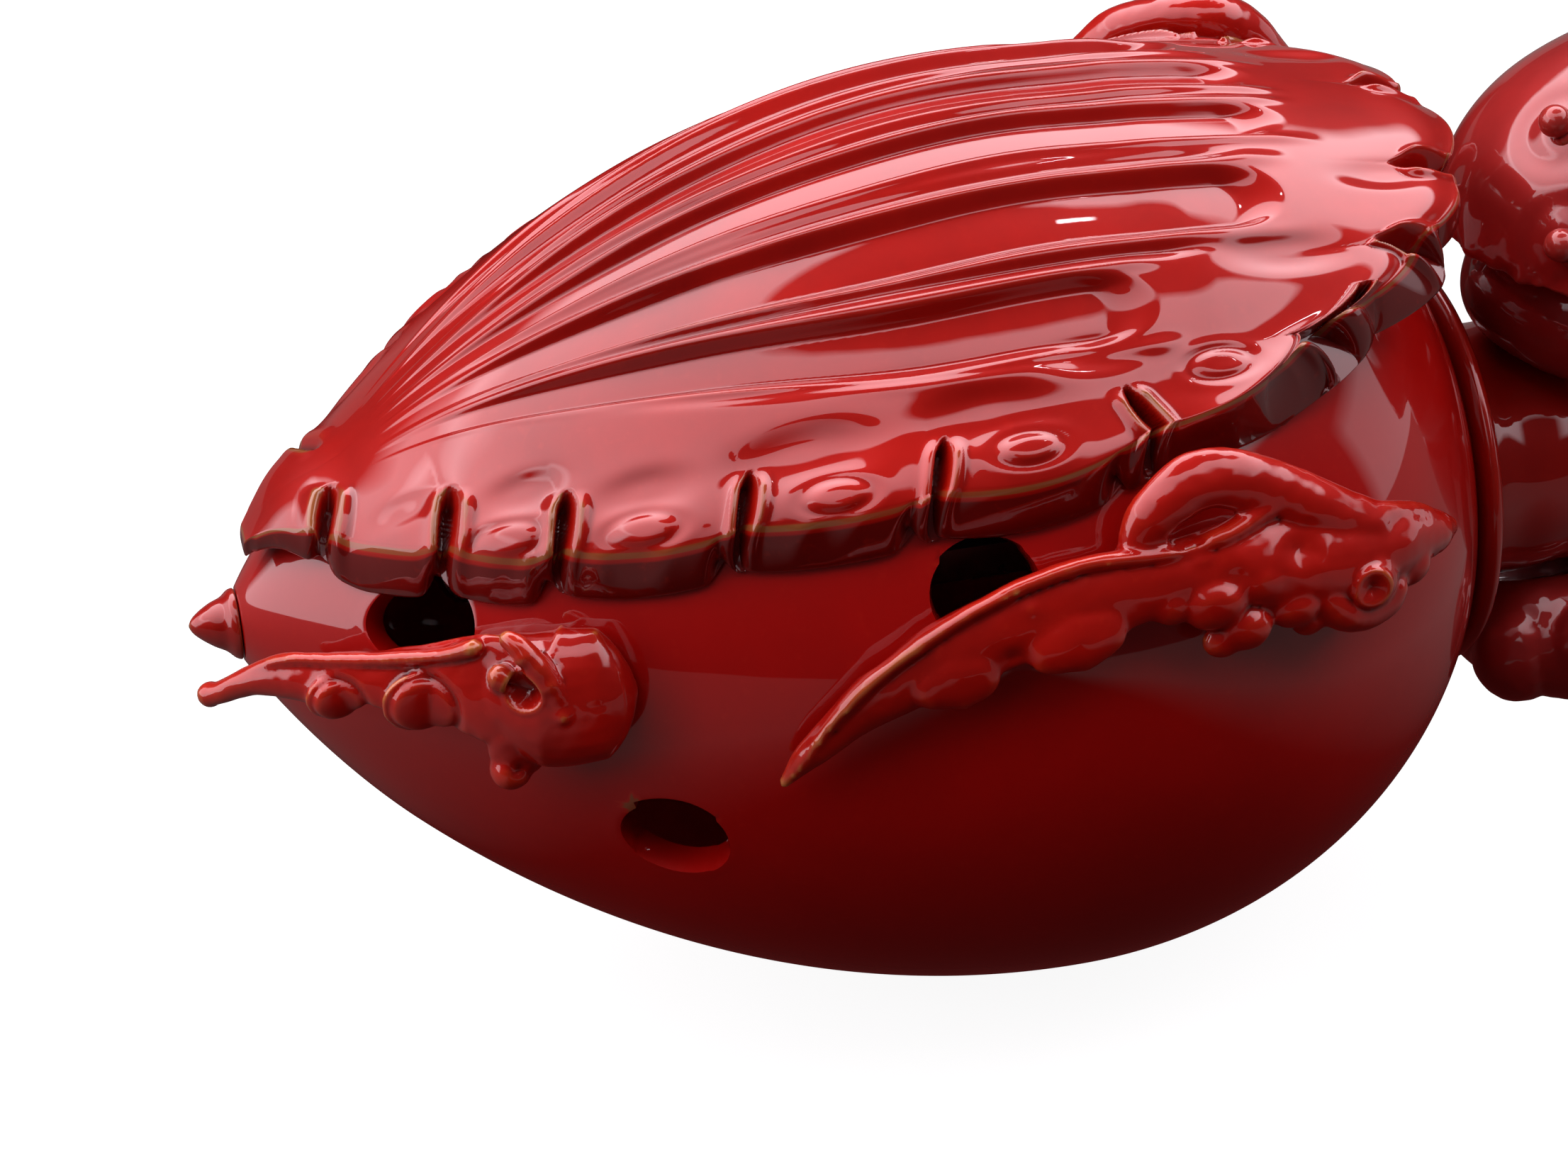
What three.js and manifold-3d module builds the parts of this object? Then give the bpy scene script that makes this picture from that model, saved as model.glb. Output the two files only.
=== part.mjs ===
// Figural lobster cracker: a hollow enamelled body is the lower lever and its fluted
// carapace, hinged under the front hood, is the upper lever. Toothed jaw plates sit inside.
// Millimetres, +Z up, +X towards the head, origin at the centre of the foot on the table.
import * as THREE from 'three';
import { mergeVertices } from 'three/addons/utils/BufferGeometryUtils.js';
import Module from 'manifold-3d';

const wasm = await Module();
wasm.setup();

// ---- driving dimensions -------------------------------------------------------------
const AXIS_Z = 31.4;            // height of the body's long axis above the table
const BODY_R = 31.75;           // largest body radius
const TAIL_LENGTH = 55.5;       // body length behind its widest section
const TAIL_POWER = 0.8;         // fullness of the tail half
const TAIL_CUT_X = -54.3;       // the tail is cut flat here for its cap
const TAIL_LIFT = 1.5;          // the end of the tail bends up this far
const LIFT_START_X = -44;
const LIFT_LENGTH = 16;
const FRONT_LENGTH = 33;        // length of the front half before it is cut flat
const FRONT_POWER = 0.455;      // fullness of the front half
const FRONT_FACE_X = 30;        // where the front is cut flat for the collar
const WALL = 2.0;               // casting wall of the body
const CLEAR = 0.35;             // gap between pieces that rest on each other
const SHELL_T = 1.4;            // thickness of the carapace
const RIM_Z = 23.3;             // height of the body's mouth above the axis at X = 0
const RIM_SLOPE = 0.24;         // the mouth rises towards the head
const HOLE_R = 3.1;             // drain holes
const DRAIN_HOLES = [[-43.8, 32.3], [-10.2, 28.1], [-29.8, -9.3]];   // X and angle above the side, degrees

const HINGE_X = 25;
const HINGE_Z = 25;             // above the axis
const KNUCKLE_R = 2.3;
const PIN_R = 1.2;
const PIN_BORE_R = 1.26;
const CENTRE_KNUCKLE_Y = 3.1;   // half width of the carapace's knuckle
const LUG_Y = [3.65, 6.1];      // inner and outer faces of the body's lugs

const PLATE_T = 2.5;
const LOWER_PLATE_Z = 11.3;     // underside of the lower jaw plate above the axis
const JAW_X = -3;               // middle of both jaws along the body
const LOWER_PLATE_X = 13.5;
const LOWER_PLATE_Y = 21.2;
const LOWER_SCREW_X = 10;
const LOWER_SCREW_Y = 19;
const UPPER_PLATE_Z = 24.3;     // underside of the upper jaw plate above the axis
const UPPER_PLATE_X = 12.5;
const UPPER_PLATE_Y = 11;
const UPPER_SCREW_X = 9.5;
const UPPER_SCREW_Y = 8.3;
const TOOTH_PITCH = 2.6;
const TOOTH_COUNT = 7;
const TOOTH_H = 1.5;
const TOOTH_Y = 5.5;             // half width of the toothed block
const BLOCK_H = 2.5;            // height of the toothed block over its plate, to the tips

const SCREW_R = 1.25;
const SCREW_HOLE_R = 1.35;
const SCREW_HEAD_R = 2.3;
const SCREW_HEAD_H = 1.4;
const SOCKET_R = 1.0;           // hexagon socket in each screw

const PAD_R = 8.5;
const PAD_T = 0.9;
const FLAT_Z = 1.2;             // the body is cut flat here, over the pad

const COLLAR_R = 15.5;
const COLLAR_X = [30.3, 32.2];
const NECK_R = 9.7;
const NECK_X = [32.5, 47.5];
const HEAD_X = 47.8;            // back face of the head's core, on the neck's end
const BOLT_R = 2.0;
const BOLT_HOLE_R = 2.2;
const BOLT_HEAD_R = 4;
const BOLT_HEAD_H = 3;
const BOLT_END_X = 54;
const BOLT_HOLE_END_X = 55;
const CAP_SHANK_R = 1.35;
const CAP_BORE_R = 1.45;
const CAP_END_X = -51.8;

const LEDGE_HALF = 3;           // half width of the ledges that carry the lower jaw plate
const LEDGE_DEPTH = 6;
const LEDGE_HOLE_DEPTH = 4.5;
const LUG_HALF = 1.9;           // half thickness of the hinge lugs and web along X
const LUG_FOOT_Z = 18.5;        // foot of the lugs above the axis
const SEAT_PAD_R = 3.2;         // pads under the claw screws, inside the body
const BOSS_R = [3, 2.6];        // bosses under the claws, foot and top
const BOSS_H = 5;
const POST_R = 2.9;             // posts that carry the upper jaw plate
const POST_HOLE_DEPTH = 2.4;
const BUMPER_X = -48;
const BUMPER_R = 1.6;
const DRAIN_SLOT = [6, 1.8, 12];   // half length, half width and distance from the mid line

const ROUND = 16;               // facets of small round parts

const colours = {
  enamel: [0x8c0a08, 0.16, 0.35],
  enamelDark: [0x5a0505, 0.18, 0.35],
  steel: [0xb9bcc0, 0.35, 0.95],
  pad: [0x1b1b1c, 0.8, 0.0],
};

// ---- solid helpers ------------------------------------------------------------------
function toSolid(geometry) {
  const bare = geometry.clone();
  bare.deleteAttribute('normal');
  bare.deleteAttribute('uv');
  const merged = mergeVertices(bare, 1e-4);
  const index = merged.index.array;
  const p = merged.attributes.position.array;
  const tris = [];
  let volume = 0;
  for (let i = 0; i < index.length; i += 3) {
    const [a, b, c] = [index[i], index[i + 1], index[i + 2]];
    if (a === b || b === c || a === c) continue;
    tris.push([a, b, c]);
    const va = new THREE.Vector3().fromArray(p, a * 3);
    const vb = new THREE.Vector3().fromArray(p, b * 3);
    const vc = new THREE.Vector3().fromArray(p, c * 3);
    volume += va.dot(vb.cross(vc));
  }
  const ordered = volume < 0 ? tris.map(([a, b, c]) => [a, c, b]) : tris;
  return new wasm.Manifold(new wasm.Mesh({
    numProp: 3,
    vertProperties: new Float32Array(p),
    triVerts: new Uint32Array(ordered.flat()),
  }));
}

function toGeometry(solid) {
  const mesh = solid.getMesh();
  const geometry = new THREE.BufferGeometry();
  geometry.setAttribute('position', new THREE.BufferAttribute(new Float32Array(mesh.vertProperties), 3));
  geometry.setIndex(new THREE.BufferAttribute(new Uint32Array(mesh.triVerts), 1));
  geometry.computeVertexNormals();
  return geometry;
}

const join = (...solids) => solids.reduce((a, b) => wasm.Manifold.union(a, b));
const cut = (solid, ...tools) => tools.reduce((a, b) => wasm.Manifold.difference(a, b), solid);
const common = (a, b) => wasm.Manifold.intersection(a, b);

// A box from its low corner to its high corner.
function box(low, high) {
  const size = high.map((v, i) => v - low[i]);
  const geometry = new THREE.BoxGeometry(...size);
  geometry.translate(...high.map((v, i) => (v + low[i]) / 2));
  return toSolid(geometry);
}

// A round bar between two points.
function bar(from, to, r0, r1 = r0, facets = ROUND) {
  const start = new THREE.Vector3(...from);
  const end = new THREE.Vector3(...to);
  const axis = end.clone().sub(start);
  const geometry = new THREE.CylinderGeometry(r1, r0, axis.length(), facets);
  const up = new THREE.Vector3(0, 1, 0);
  const turn = new THREE.Quaternion().setFromUnitVectors(up, axis.clone().normalize());
  geometry.applyQuaternion(turn);
  geometry.translate(...start.add(end).multiplyScalar(0.5).toArray());
  return toSolid(geometry);
}

const smooth = (v) => THREE.MathUtils.smoothstep(v, 0, 1);
const lift = (x) => TAIL_LIFT * smooth((LIFT_START_X - x) / LIFT_LENGTH);

// A solid of revolution about the body axis, from [x, radius] points, bent up at the tail.
function turned(profile, facets) {
  const points = profile.map(([x, r]) => new THREE.Vector2(r, x));
  const geometry = new THREE.LatheGeometry(points, facets);
  geometry.rotateZ(-Math.PI / 2);
  geometry.rotateX(Math.PI / facets);
  const position = geometry.attributes.position;
  for (let i = 0; i < position.count; i += 1) {
    position.setZ(i, position.getZ(i) + AXIS_Z + lift(position.getX(i)));
  }
  return toSolid(geometry);
}

// A smooth limb: round sections of half width w and half thickness t strung along stations.
function limb(stations, facets = 8) {
  const centres = new THREE.CatmullRomCurve3(stations.map((s) => new THREE.Vector3(...s.at)));
  const steps = (stations.length - 1) * 2;
  const geometry = new THREE.CylinderGeometry(1, 1, 1, facets, steps);
  const position = geometry.attributes.position;
  for (let i = 0; i < position.count; i += 1) {
    const along = 0.5 - position.getY(i);
    const place = along * (stations.length - 1);
    const k = Math.min(Math.floor(place + 1e-6), stations.length - 2);
    const f = place - k;
    const w = THREE.MathUtils.lerp(stations[k].w, stations[k + 1].w, f);
    const t = THREE.MathUtils.lerp(stations[k].t, stations[k + 1].t, f);
    const centre = centres.getPoint(along);
    const tangent = centres.getTangent(along);
    const out = new THREE.Vector3(0, centre.y, centre.z - AXIS_Z).normalize();
    const across = new THREE.Vector3().crossVectors(tangent, out).normalize();
    const lift = new THREE.Vector3().crossVectors(across, tangent).normalize();
    centre.addScaledVector(across, w * position.getX(i));
    centre.addScaledVector(lift, t * position.getZ(i));
    position.setXYZ(i, centre.x, centre.y, centre.z);
  }
  return toSolid(geometry);
}

// An egg-shaped blob.
function blob(at, radii, wide = 14, high = 9, squareness = 1) {
  const geometry = new THREE.SphereGeometry(1, wide, high);
  const position = geometry.attributes.position;
  for (let i = 0; squareness !== 1 && i < position.array.length; i += 1) {
    const v = position.array[i];
    position.array[i] = Math.sign(v) * Math.abs(v) ** squareness;
  }
  geometry.scale(...radii);
  geometry.translate(...at);
  return toSolid(geometry);
}

// ---- body shape ---------------------------------------------------------------------
function bodyRadius(x) {
  if (x < 0) return BODY_R * Math.max(0, 1 - (x / TAIL_LENGTH) ** 2) ** TAIL_POWER;
  return BODY_R * Math.max(0, 1 - (x / FRONT_LENGTH) ** 2) ** FRONT_POWER;
}

// Body of revolution, offset outwards by grow, with rings bunched towards the pointed tail.
function bodySolid(grow, facets, rings) {
  const profile = [[-TAIL_LENGTH - grow, 0]];
  for (let i = 1; i <= rings; i += 1) {
    const x = -TAIL_LENGTH * Math.cos((i / rings) * (Math.PI / 2));
    profile.push([x, bodyRadius(x) + grow]);
  }
  const frontRings = Math.round(rings * 0.6);
  for (let i = 1; i <= frontRings; i += 1) {
    const x = FRONT_FACE_X * Math.sin((i / frontRings) * (Math.PI / 2));
    profile.push([x, bodyRadius(x) + grow]);
  }
  profile.push([FRONT_FACE_X + Math.max(grow, 0), bodyRadius(FRONT_FACE_X) + grow]);
  profile.push([FRONT_FACE_X + Math.max(grow, 0), 0]);
  return turned(profile, facets);
}

function cavitySolid() {
  const rings = 8;
  const length = TAIL_LENGTH - 3.5;
  const profile = [[-length, 0]];
  for (let i = 1; i <= rings; i += 1) {
    const x = -length * Math.cos((i / rings) * (Math.PI / 2));
    profile.push([x, (BODY_R - WALL) * (1 - (x / length) ** 2) ** TAIL_POWER]);
  }
  const front = FRONT_FACE_X - WALL;
  for (let i = 1; i <= 6; i += 1) {
    const x = front * Math.sin((i / 6) * (Math.PI / 2));
    profile.push([x, (BODY_R - WALL) * (1 - (x / (FRONT_LENGTH - WALL)) ** 2) ** FRONT_POWER]);
  }
  profile.push([front, 0]);
  return turned(profile, 24);
}

// A point at height r over the axis, at an angle above the near side (side = -1) or far side.
function onBody(x, angle, r, side) {
  const a = THREE.MathUtils.degToRad(angle);
  return [x, side * r * Math.cos(a), AXIS_Z + lift(x) + r * Math.sin(a)];
}

// ---- carapace shape -----------------------------------------------------------------
const TAIL_TIP_X = -53.4;
const HOOD_X = 29.9;            // front edge on the mid line
const CORNER_X = 9.8;           // where the side rim turns into the front rim
const HOOD_SWEEP = 6.2;         // how far the front edge has fallen back at SWEEP_ANGLE
const SWEEP_ANGLE = 27;
const SWEEP_POWER = 2.66;
const HOOD_R = 33.3;            // the hood keeps this radius, falling gently forwards
const RIM_WIDEST_X = -19;
const RIM_REACH = 55.5;         // the side rim's angle from the mid line at its widest, in degrees
const RIM_FRONT_FALL = 11;      // the rim's angle is this much less at CORNER_X
const RIM_TAIL_FALL = 40;       // and this much less at the tail's tip
const FLUTES = [-32, -19, -5.5, 5.5, 19, 32];     // degrees from the mid line
const FLUTE_DEPTH = 0.7;
const FLUTE_HALF = 4.2;         // half width in degrees
const LOBE_STARTS = [-48.4, -41.5, -34.9, -24.2, -12.4, 1.3, 14.1];   // where two rim lobes meet, along X
const LOBE_DROP = 1.2;
const LOBE_FLARE = 1.3;

function carapaceRadius(x) {
  const follow = bodyRadius(x) + CLEAR + SHELL_T;
  const hood = HOOD_R - 0.0055 * x * x;
  const tail = 2.2 * smooth((-46 - x) / 6);
  return (x < 0 ? follow : Math.max(follow, hood + (follow - hood) * smooth(1 - x / 8))) + tail;
}

// 0 where two lobes meet, 1 in the middle of a lobe.
function lobeShape(x) {
  const next = LOBE_STARTS.findIndex((start) => start > x);
  if (next <= 0) return 0;
  const [a, b] = [LOBE_STARTS[next - 1], LOBE_STARTS[next]];
  return Math.sin(Math.PI * ((x - a) / (b - a))) ** 0.5;
}

function rimReach(x) {
  if (x > RIM_WIDEST_X) {
    return RIM_REACH - RIM_FRONT_FALL * ((x - RIM_WIDEST_X) / (CORNER_X - RIM_WIDEST_X)) ** 1.8;
  }
  return RIM_REACH - RIM_TAIL_FALL * ((RIM_WIDEST_X - x) / (RIM_WIDEST_X - TAIL_TIP_X)) ** 4.2;
}

function carapacePoint(along, across, outside) {
  const side = Math.sign(across) || 1;
  const bow = Math.abs(across);
  const fromTop = bow * rimReach(THREE.MathUtils.lerp(TAIL_TIP_X, CORNER_X, along));
  const hoodEdge = HOOD_X - HOOD_SWEEP * (fromTop / SWEEP_ANGLE) ** SWEEP_POWER;
  const x = THREE.MathUtils.lerp(TAIL_TIP_X, hoodEdge, along);
  const lobe = lobeShape(x) * bow ** 8;
  const angle = 90 - fromTop - (lobe * LOBE_DROP * 57.3) / carapaceRadius(x);
  let r = carapaceRadius(x) + LOBE_FLARE * lobe;
  if (outside) {
    const end = smooth((x + 50) / 25) * smooth((17 - x) / 4);
    const gather = 1 - Math.max(0, -x / TAIL_LENGTH) ** 2.55;
    for (const flute of FLUTES) {
      const off = (side * fromTop - flute * gather) / FLUTE_HALF;
      r -= FLUTE_DEPTH * end * Math.max(0, 1 - off * off);
    }
  } else {
    r -= SHELL_T;
  }
  return onBody(x, angle, r, side);
}

function carapaceSheet() {
  const geometry = new THREE.BoxGeometry(1, 1, 1, 22, 34, 1);
  const position = geometry.attributes.position;
  for (let i = 0; i < position.count; i += 1) {
    const along = position.getX(i) + 0.5;
    const across = position.getY(i) * 2;
    const point = carapacePoint(along, across, position.getZ(i) > 0);
    position.setXYZ(i, ...point);
  }
  return toSolid(geometry);
}

// ---- pieces -------------------------------------------------------------------------
const object = new THREE.Group();

function add(name, solid, [colour, roughness, metalness]) {
  const material = new THREE.MeshStandardMaterial({ color: colour, roughness, metalness });
  const mesh = new THREE.Mesh(toGeometry(solid), material);
  mesh.name = name;
  object.add(mesh);
}

const sides = [['left', 1], ['right', -1]];
const corners = [[-1, -1], [-1, 1], [1, -1], [1, 1]];
const hingeZ = AXIS_Z + HINGE_Z;
const TAIL_Z = AXIS_Z + lift(TAIL_CUT_X);

// Claw screw seats: X and angle above the side, one for each claw on each side.
const CLAW_SEATS = { front: [14.5, 26], rear: [-36.5, 22] };
const FAR_REAR_TURN = 50;       // the far rear claw sits this much lower round the body, in degrees
const FAR_REAR_REACH = 0.7;     // and its hand is drawn in to this share of the near one's reach
const CLAW_SEAT_DEPTH = 5;      // from the body's surface in to the screw's seat
const CLAW_SCREW_REACH = 4;     // from the body's surface out to the screw's tip

function clawScrewLine(kind, side, r0, r1) {
  const [x, angle] = CLAW_SEATS[kind];
  const turn = kind === 'rear' && side > 0 ? FAR_REAR_TURN : 0;
  return [onBody(x, angle - turn, r0, side), onBody(x, angle - turn, r1, side)];
}

function seatRadius(kind) {
  return bodyRadius(CLAW_SEATS[kind][0]);
}

function bellyShell() {
  const cavity = cavitySolid();
  let shell = cut(bodySolid(0, 36, 12), cavity);
  const mouth = new THREE.BoxGeometry(120, 90, 60);
  mouth.translate(0, 0, 30);
  mouth.rotateY(-Math.atan(RIM_SLOPE));
  mouth.translate(0, 0, AXIS_Z + RIM_Z);
  shell = cut(shell, toSolid(mouth));
  const inside = bodySolid(-0.6, 32, 10);
  const ledgeTop = AXIS_Z + LOWER_PLATE_Z - 0.3;
  for (const [sx, sy] of corners) {
    const x = JAW_X + sx * LOWER_SCREW_X;
    const y = [sy * (LOWER_SCREW_Y - LEDGE_HALF), sy * BODY_R].sort((a, b) => a - b);
    const ledge = box([x - LEDGE_HALF, y[0], ledgeTop - LEDGE_DEPTH], [x + LEDGE_HALF, y[1], ledgeTop]);
    shell = join(shell, common(ledge, inside));
  }
  for (const side of [-1, 1]) {
    const y = [side * LUG_Y[0], side * LUG_Y[1]].sort((a, b) => a - b);
    const eye = bar([HINGE_X, y[0], hingeZ], [HINGE_X, y[1], hingeZ], KNUCKLE_R);
    const foot = box([HINGE_X - LUG_HALF, y[0], AXIS_Z + LUG_FOOT_Z], [HINGE_X + LUG_HALF, y[1], hingeZ]);
    shell = join(shell, cut(join(eye, foot), cavity));
  }
  for (const [sx, sy] of corners) {
    const [x, y] = [JAW_X + sx * LOWER_SCREW_X, sy * LOWER_SCREW_Y];
    shell = cut(shell, bar([x, y, ledgeTop - LEDGE_HOLE_DEPTH], [x, y, ledgeTop + 1], SCREW_HOLE_R));
  }
  for (const side of [-1, 1]) {
    for (const [x, angle] of DRAIN_HOLES) {
      const r = bodyRadius(x);
      shell = cut(shell, bar(onBody(x, angle, r - 7, side), onBody(x, angle, r + 3, side), HOLE_R));
    }
    for (const kind of ['front', 'rear']) {
      const r = seatRadius(kind);
      const pad = bar(...clawScrewLine(kind, side, r - CLAW_SEAT_DEPTH + 0.1, r), SEAT_PAD_R);
      shell = join(shell, common(pad, inside));
      shell = cut(shell, bar(...clawScrewLine(kind, side, r - 6, r + 3), SCREW_HOLE_R));
    }
  }
  const pinBore = bar([HINGE_X, -9, hingeZ], [HINGE_X, 9, hingeZ], PIN_BORE_R);
  const boltBore = bar([20, 0, AXIS_Z], [FRONT_FACE_X + 5, 0, AXIS_Z], BOLT_HOLE_R);
  const capBore = bar([-60, 0, TAIL_Z], [CAP_END_X + 2, 0, TAIL_Z], CAP_BORE_R);
  const belowFlat = box([-20, -20, -5], [20, 20, FLAT_Z]);
  return cut(shell, pinBore, boltBore, capBore, belowFlat, box([-62, -9, 0], [TAIL_CUT_X, 9, 60]));
}

add('belly_shell', bellyShell(), colours.enamel);
add('base_pad', bar([0, 0, 0], [0, 0, PAD_T], PAD_R, PAD_R - 0.3, 40), colours.pad);

// A plate with a saw-toothed block; teeth point up for the lower jaw and down for the upper.
function jawPlate(baseZ, halfX, halfY, screwX, screwY, up) {
  const plate = box([JAW_X - halfX, -halfY, baseZ], [JAW_X + halfX, halfY, baseZ + PLATE_T]);
  const root = up > 0 ? baseZ + PLATE_T : baseZ;
  const start = -(TOOTH_COUNT * TOOTH_PITCH) / 2;
  const saw = new THREE.Shape();
  saw.moveTo(start, -up);
  saw.lineTo(start, up * (BLOCK_H - TOOTH_H));
  for (let i = 0; i < TOOTH_COUNT; i += 1) {
    saw.lineTo(start + (i + 0.5) * TOOTH_PITCH, up * BLOCK_H);
    saw.lineTo(start + (i + 1) * TOOTH_PITCH, up * (BLOCK_H - TOOTH_H));
  }
  saw.lineTo(-start, -up);
  saw.closePath();
  const block = new THREE.ExtrudeGeometry(saw, { depth: 2 * TOOTH_Y, bevelEnabled: false });
  block.translate(0, 0, -TOOTH_Y);
  block.rotateX(Math.PI / 2);
  block.translate(JAW_X, 0, root);
  let jaw = join(plate, toSolid(block));
  for (const [sx, sy] of corners) {
    const [x, y] = [JAW_X + sx * screwX, sy * screwY];
    jaw = cut(jaw, bar([x, y, baseZ - 1], [x, y, baseZ + PLATE_T + 1], SCREW_HOLE_R));
  }
  return jaw;
}

const lowerZ = AXIS_Z + LOWER_PLATE_Z;
const drainSlots = [-1, 1].map((s) => {
  const [half, wide, away] = DRAIN_SLOT;
  return box([JAW_X - half, s * away - wide, lowerZ - 1], [JAW_X + half, s * away + wide, lowerZ + 4]);
});
const lowerJaw = jawPlate(lowerZ, LOWER_PLATE_X, LOWER_PLATE_Y, LOWER_SCREW_X, LOWER_SCREW_Y, 1);
add('lower_jaw_plate', cut(lowerJaw, ...drainSlots), colours.steel);

// A pan-head screw along a line: shank from the tip to the seat, head beyond it.
function screw(tip, seat, headEnd) {
  const socket = new THREE.Vector3(...headEnd).lerp(new THREE.Vector3(...seat), 0.5).toArray();
  const head = bar(seat, headEnd, SCREW_HEAD_R, SCREW_HEAD_R * 0.85);
  const beyond = headEnd.map((v, i) => 2 * v - socket[i]);
  return cut(join(bar(tip, headEnd, SCREW_R), head), bar(socket, beyond, SOCKET_R, SOCKET_R, 6));
}

corners.forEach(([sx, sy], i) => {
  const [x, y] = [JAW_X + sx * LOWER_SCREW_X, sy * LOWER_SCREW_Y];
  const seat = lowerZ + PLATE_T + 0.05;
  const solid = screw([x, y, seat - 6], [x, y, seat], [x, y, seat + SCREW_HEAD_H]);
  add(`lower_plate_screw_${i + 1}`, solid, colours.steel);
});

function tailCap() {
  const back = TAIL_CUT_X - 0.35;
  const profile = [[-57.7, 0], [-57.5, 0.5], [-56.8, 1.05], [-55.8, 1.6], [back, 2.35], [back, 0]];
  return join(turned(profile, ROUND), bar([back - 0.3, 0, TAIL_Z], [CAP_END_X, 0, TAIL_Z], CAP_SHANK_R));
}
add('tail_cap', tailCap(), colours.enamel);

function collar() {
  const [back, front] = COLLAR_X;
  const profile = [
    [back, 0], [back, COLLAR_R - 0.9], [back + 0.5, COLLAR_R - 0.1], [back + 1.0, COLLAR_R],
    [front - 0.3, COLLAR_R - 0.7], [front, COLLAR_R - 1.5], [front, 0],
  ];
  return cut(turned(profile, 40), bar([25, 0, AXIS_Z], [40, 0, AXIS_Z], BOLT_HOLE_R));
}
add('neck_collar', collar(), colours.enamel);

function neck() {
  const [back, front] = NECK_X;
  const tube = bar([back, 0, AXIS_Z], [front, 0, AXIS_Z], NECK_R, NECK_R, 36);
  return cut(tube, bar([25, 0, AXIS_Z], [60, 0, AXIS_Z], BOLT_HOLE_R));
}
add('neck', neck(), colours.enamel);

// Head: a domed hood with a lip round it, over darker cheeks and a core that carries the bolt.
const LIP_Z = AXIS_Z + 18.5;
const HOOD_AT = [51, 0, LIP_Z];
const HOOD_SIZE = [19.2, 15, 14];
const CHEEK_AT = [51.5, 0, AXIS_Z + 13];
const CHEEK_SIZE = [18, 12, 8];
const CORE_AT = [56, 0, AXIS_Z + 5];
const CORE_SIZE = [16.5, 12.5, 14];

function head() {
  const hood = blob(HOOD_AT, HOOD_SIZE, 22, 16);
  const underside = box([20, -30, 0], [90, 30, LIP_Z]);
  const core = join(blob(CORE_AT, CORE_SIZE, 18, 12), blob(CHEEK_AT, CHEEK_SIZE, 18, 12));
  const throat = bar([20, 0, AXIS_Z], [HEAD_X, 0, AXIS_Z], NECK_R + 0.5, NECK_R + 0.5, 32);
  const boltHole = bar([HEAD_X - 2, 0, AXIS_Z], [BOLT_HOLE_END_X, 0, AXIS_Z], BOLT_HOLE_R);
  const knobSeats = Object.values(KNOBS).map((at) => {
    const [foot, top] = knobLine(at, -3);
    const seatR = KNOB_R + 0.25;
    return join(bar(foot, top, KNOB_SHANK_R + 0.2), blob(top, [seatR, seatR, seatR], 12, 9));
  });
  return cut(join(cut(hood, underside), core), throat, boltHole, ...knobSeats);
}

// Small knobs on the hood: each stands square to the surface.
const KNOBS = { upper: [37.6, -3.2, 28], lower: [36.3, -8.6, 22.2] };
const KNOB_R = 1.3;
const KNOB_SHANK_R = 0.8;

function knobLine([x, y, z], depth) {
  const base = new THREE.Vector3(x, y, AXIS_Z + z);
  const fall = base.clone().sub(new THREE.Vector3(...HOOD_AT)).toArray();
  const out = new THREE.Vector3(...fall.map((v, i) => v / HOOD_SIZE[i] ** 2)).normalize();
  const top = base.clone().addScaledVector(out, 1.5);
  return [base.clone().addScaledVector(out, depth).toArray(), top.toArray()];
}

add('head', head(), colours.enamelDark);
for (const [name, at] of Object.entries(KNOBS)) {
  const [foot, top] = knobLine(at, -2.6);
  const knob = blob(top, [KNOB_R, KNOB_R, KNOB_R], 10, 7);
  add(`${name}_knob`, join(knob, bar(foot, top, KNOB_SHANK_R)), colours.enamelDark);
}

function chin() {
  const lobe = blob([43.5, 0, AXIS_Z - 13.5], [9.8, 11.5, 6.8], 16, 10);
  const clearNeck = bar([20, 0, AXIS_Z], [70, 0, AXIS_Z], NECK_R + CLEAR, NECK_R + CLEAR, 36);
  const clearHead = blob(CORE_AT, CORE_SIZE.map((v) => v + 0.6), 18, 12);
  return cut(lobe, clearNeck, clearHead);
}
add('chin', chin(), colours.enamelDark);

function tieBolt() {
  const headX = FRONT_FACE_X - WALL - 0.1;
  const shank = bar([headX - 0.2, 0, AXIS_Z], [BOLT_END_X, 0, AXIS_Z], BOLT_R);
  const hexagon = bar([headX - BOLT_HEAD_H, 0, AXIS_Z], [headX, 0, AXIS_Z], BOLT_HEAD_R, BOLT_HEAD_R, 6);
  return join(shank, hexagon);
}
add('tie_bolt', tieBolt(), colours.steel);

// The arm that arches over each front palm: X, angle, radius, half width, half thickness.
const ARM_ARCH = {
  right: [
    [-1.2, 29, 33.8, 1.4, 1.2], [2, 34.5, 35, 2.2, 1.5], [8, 34, 35.2, 2.6, 1.8], [15, 28, 32.8, 2.6, 2.2],
  ],
  left: [
    [11, 31, 33, 1.6, 1.4], [16.5, 41, 34.8, 2.6, 2.2], [22.5, 46, 33.8, 2.8, 2.4], [27, 41, 30, 2.6, 2.2],
    [28.4, 33, 24.5, 2.2, 2.0],
  ],
};

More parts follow.
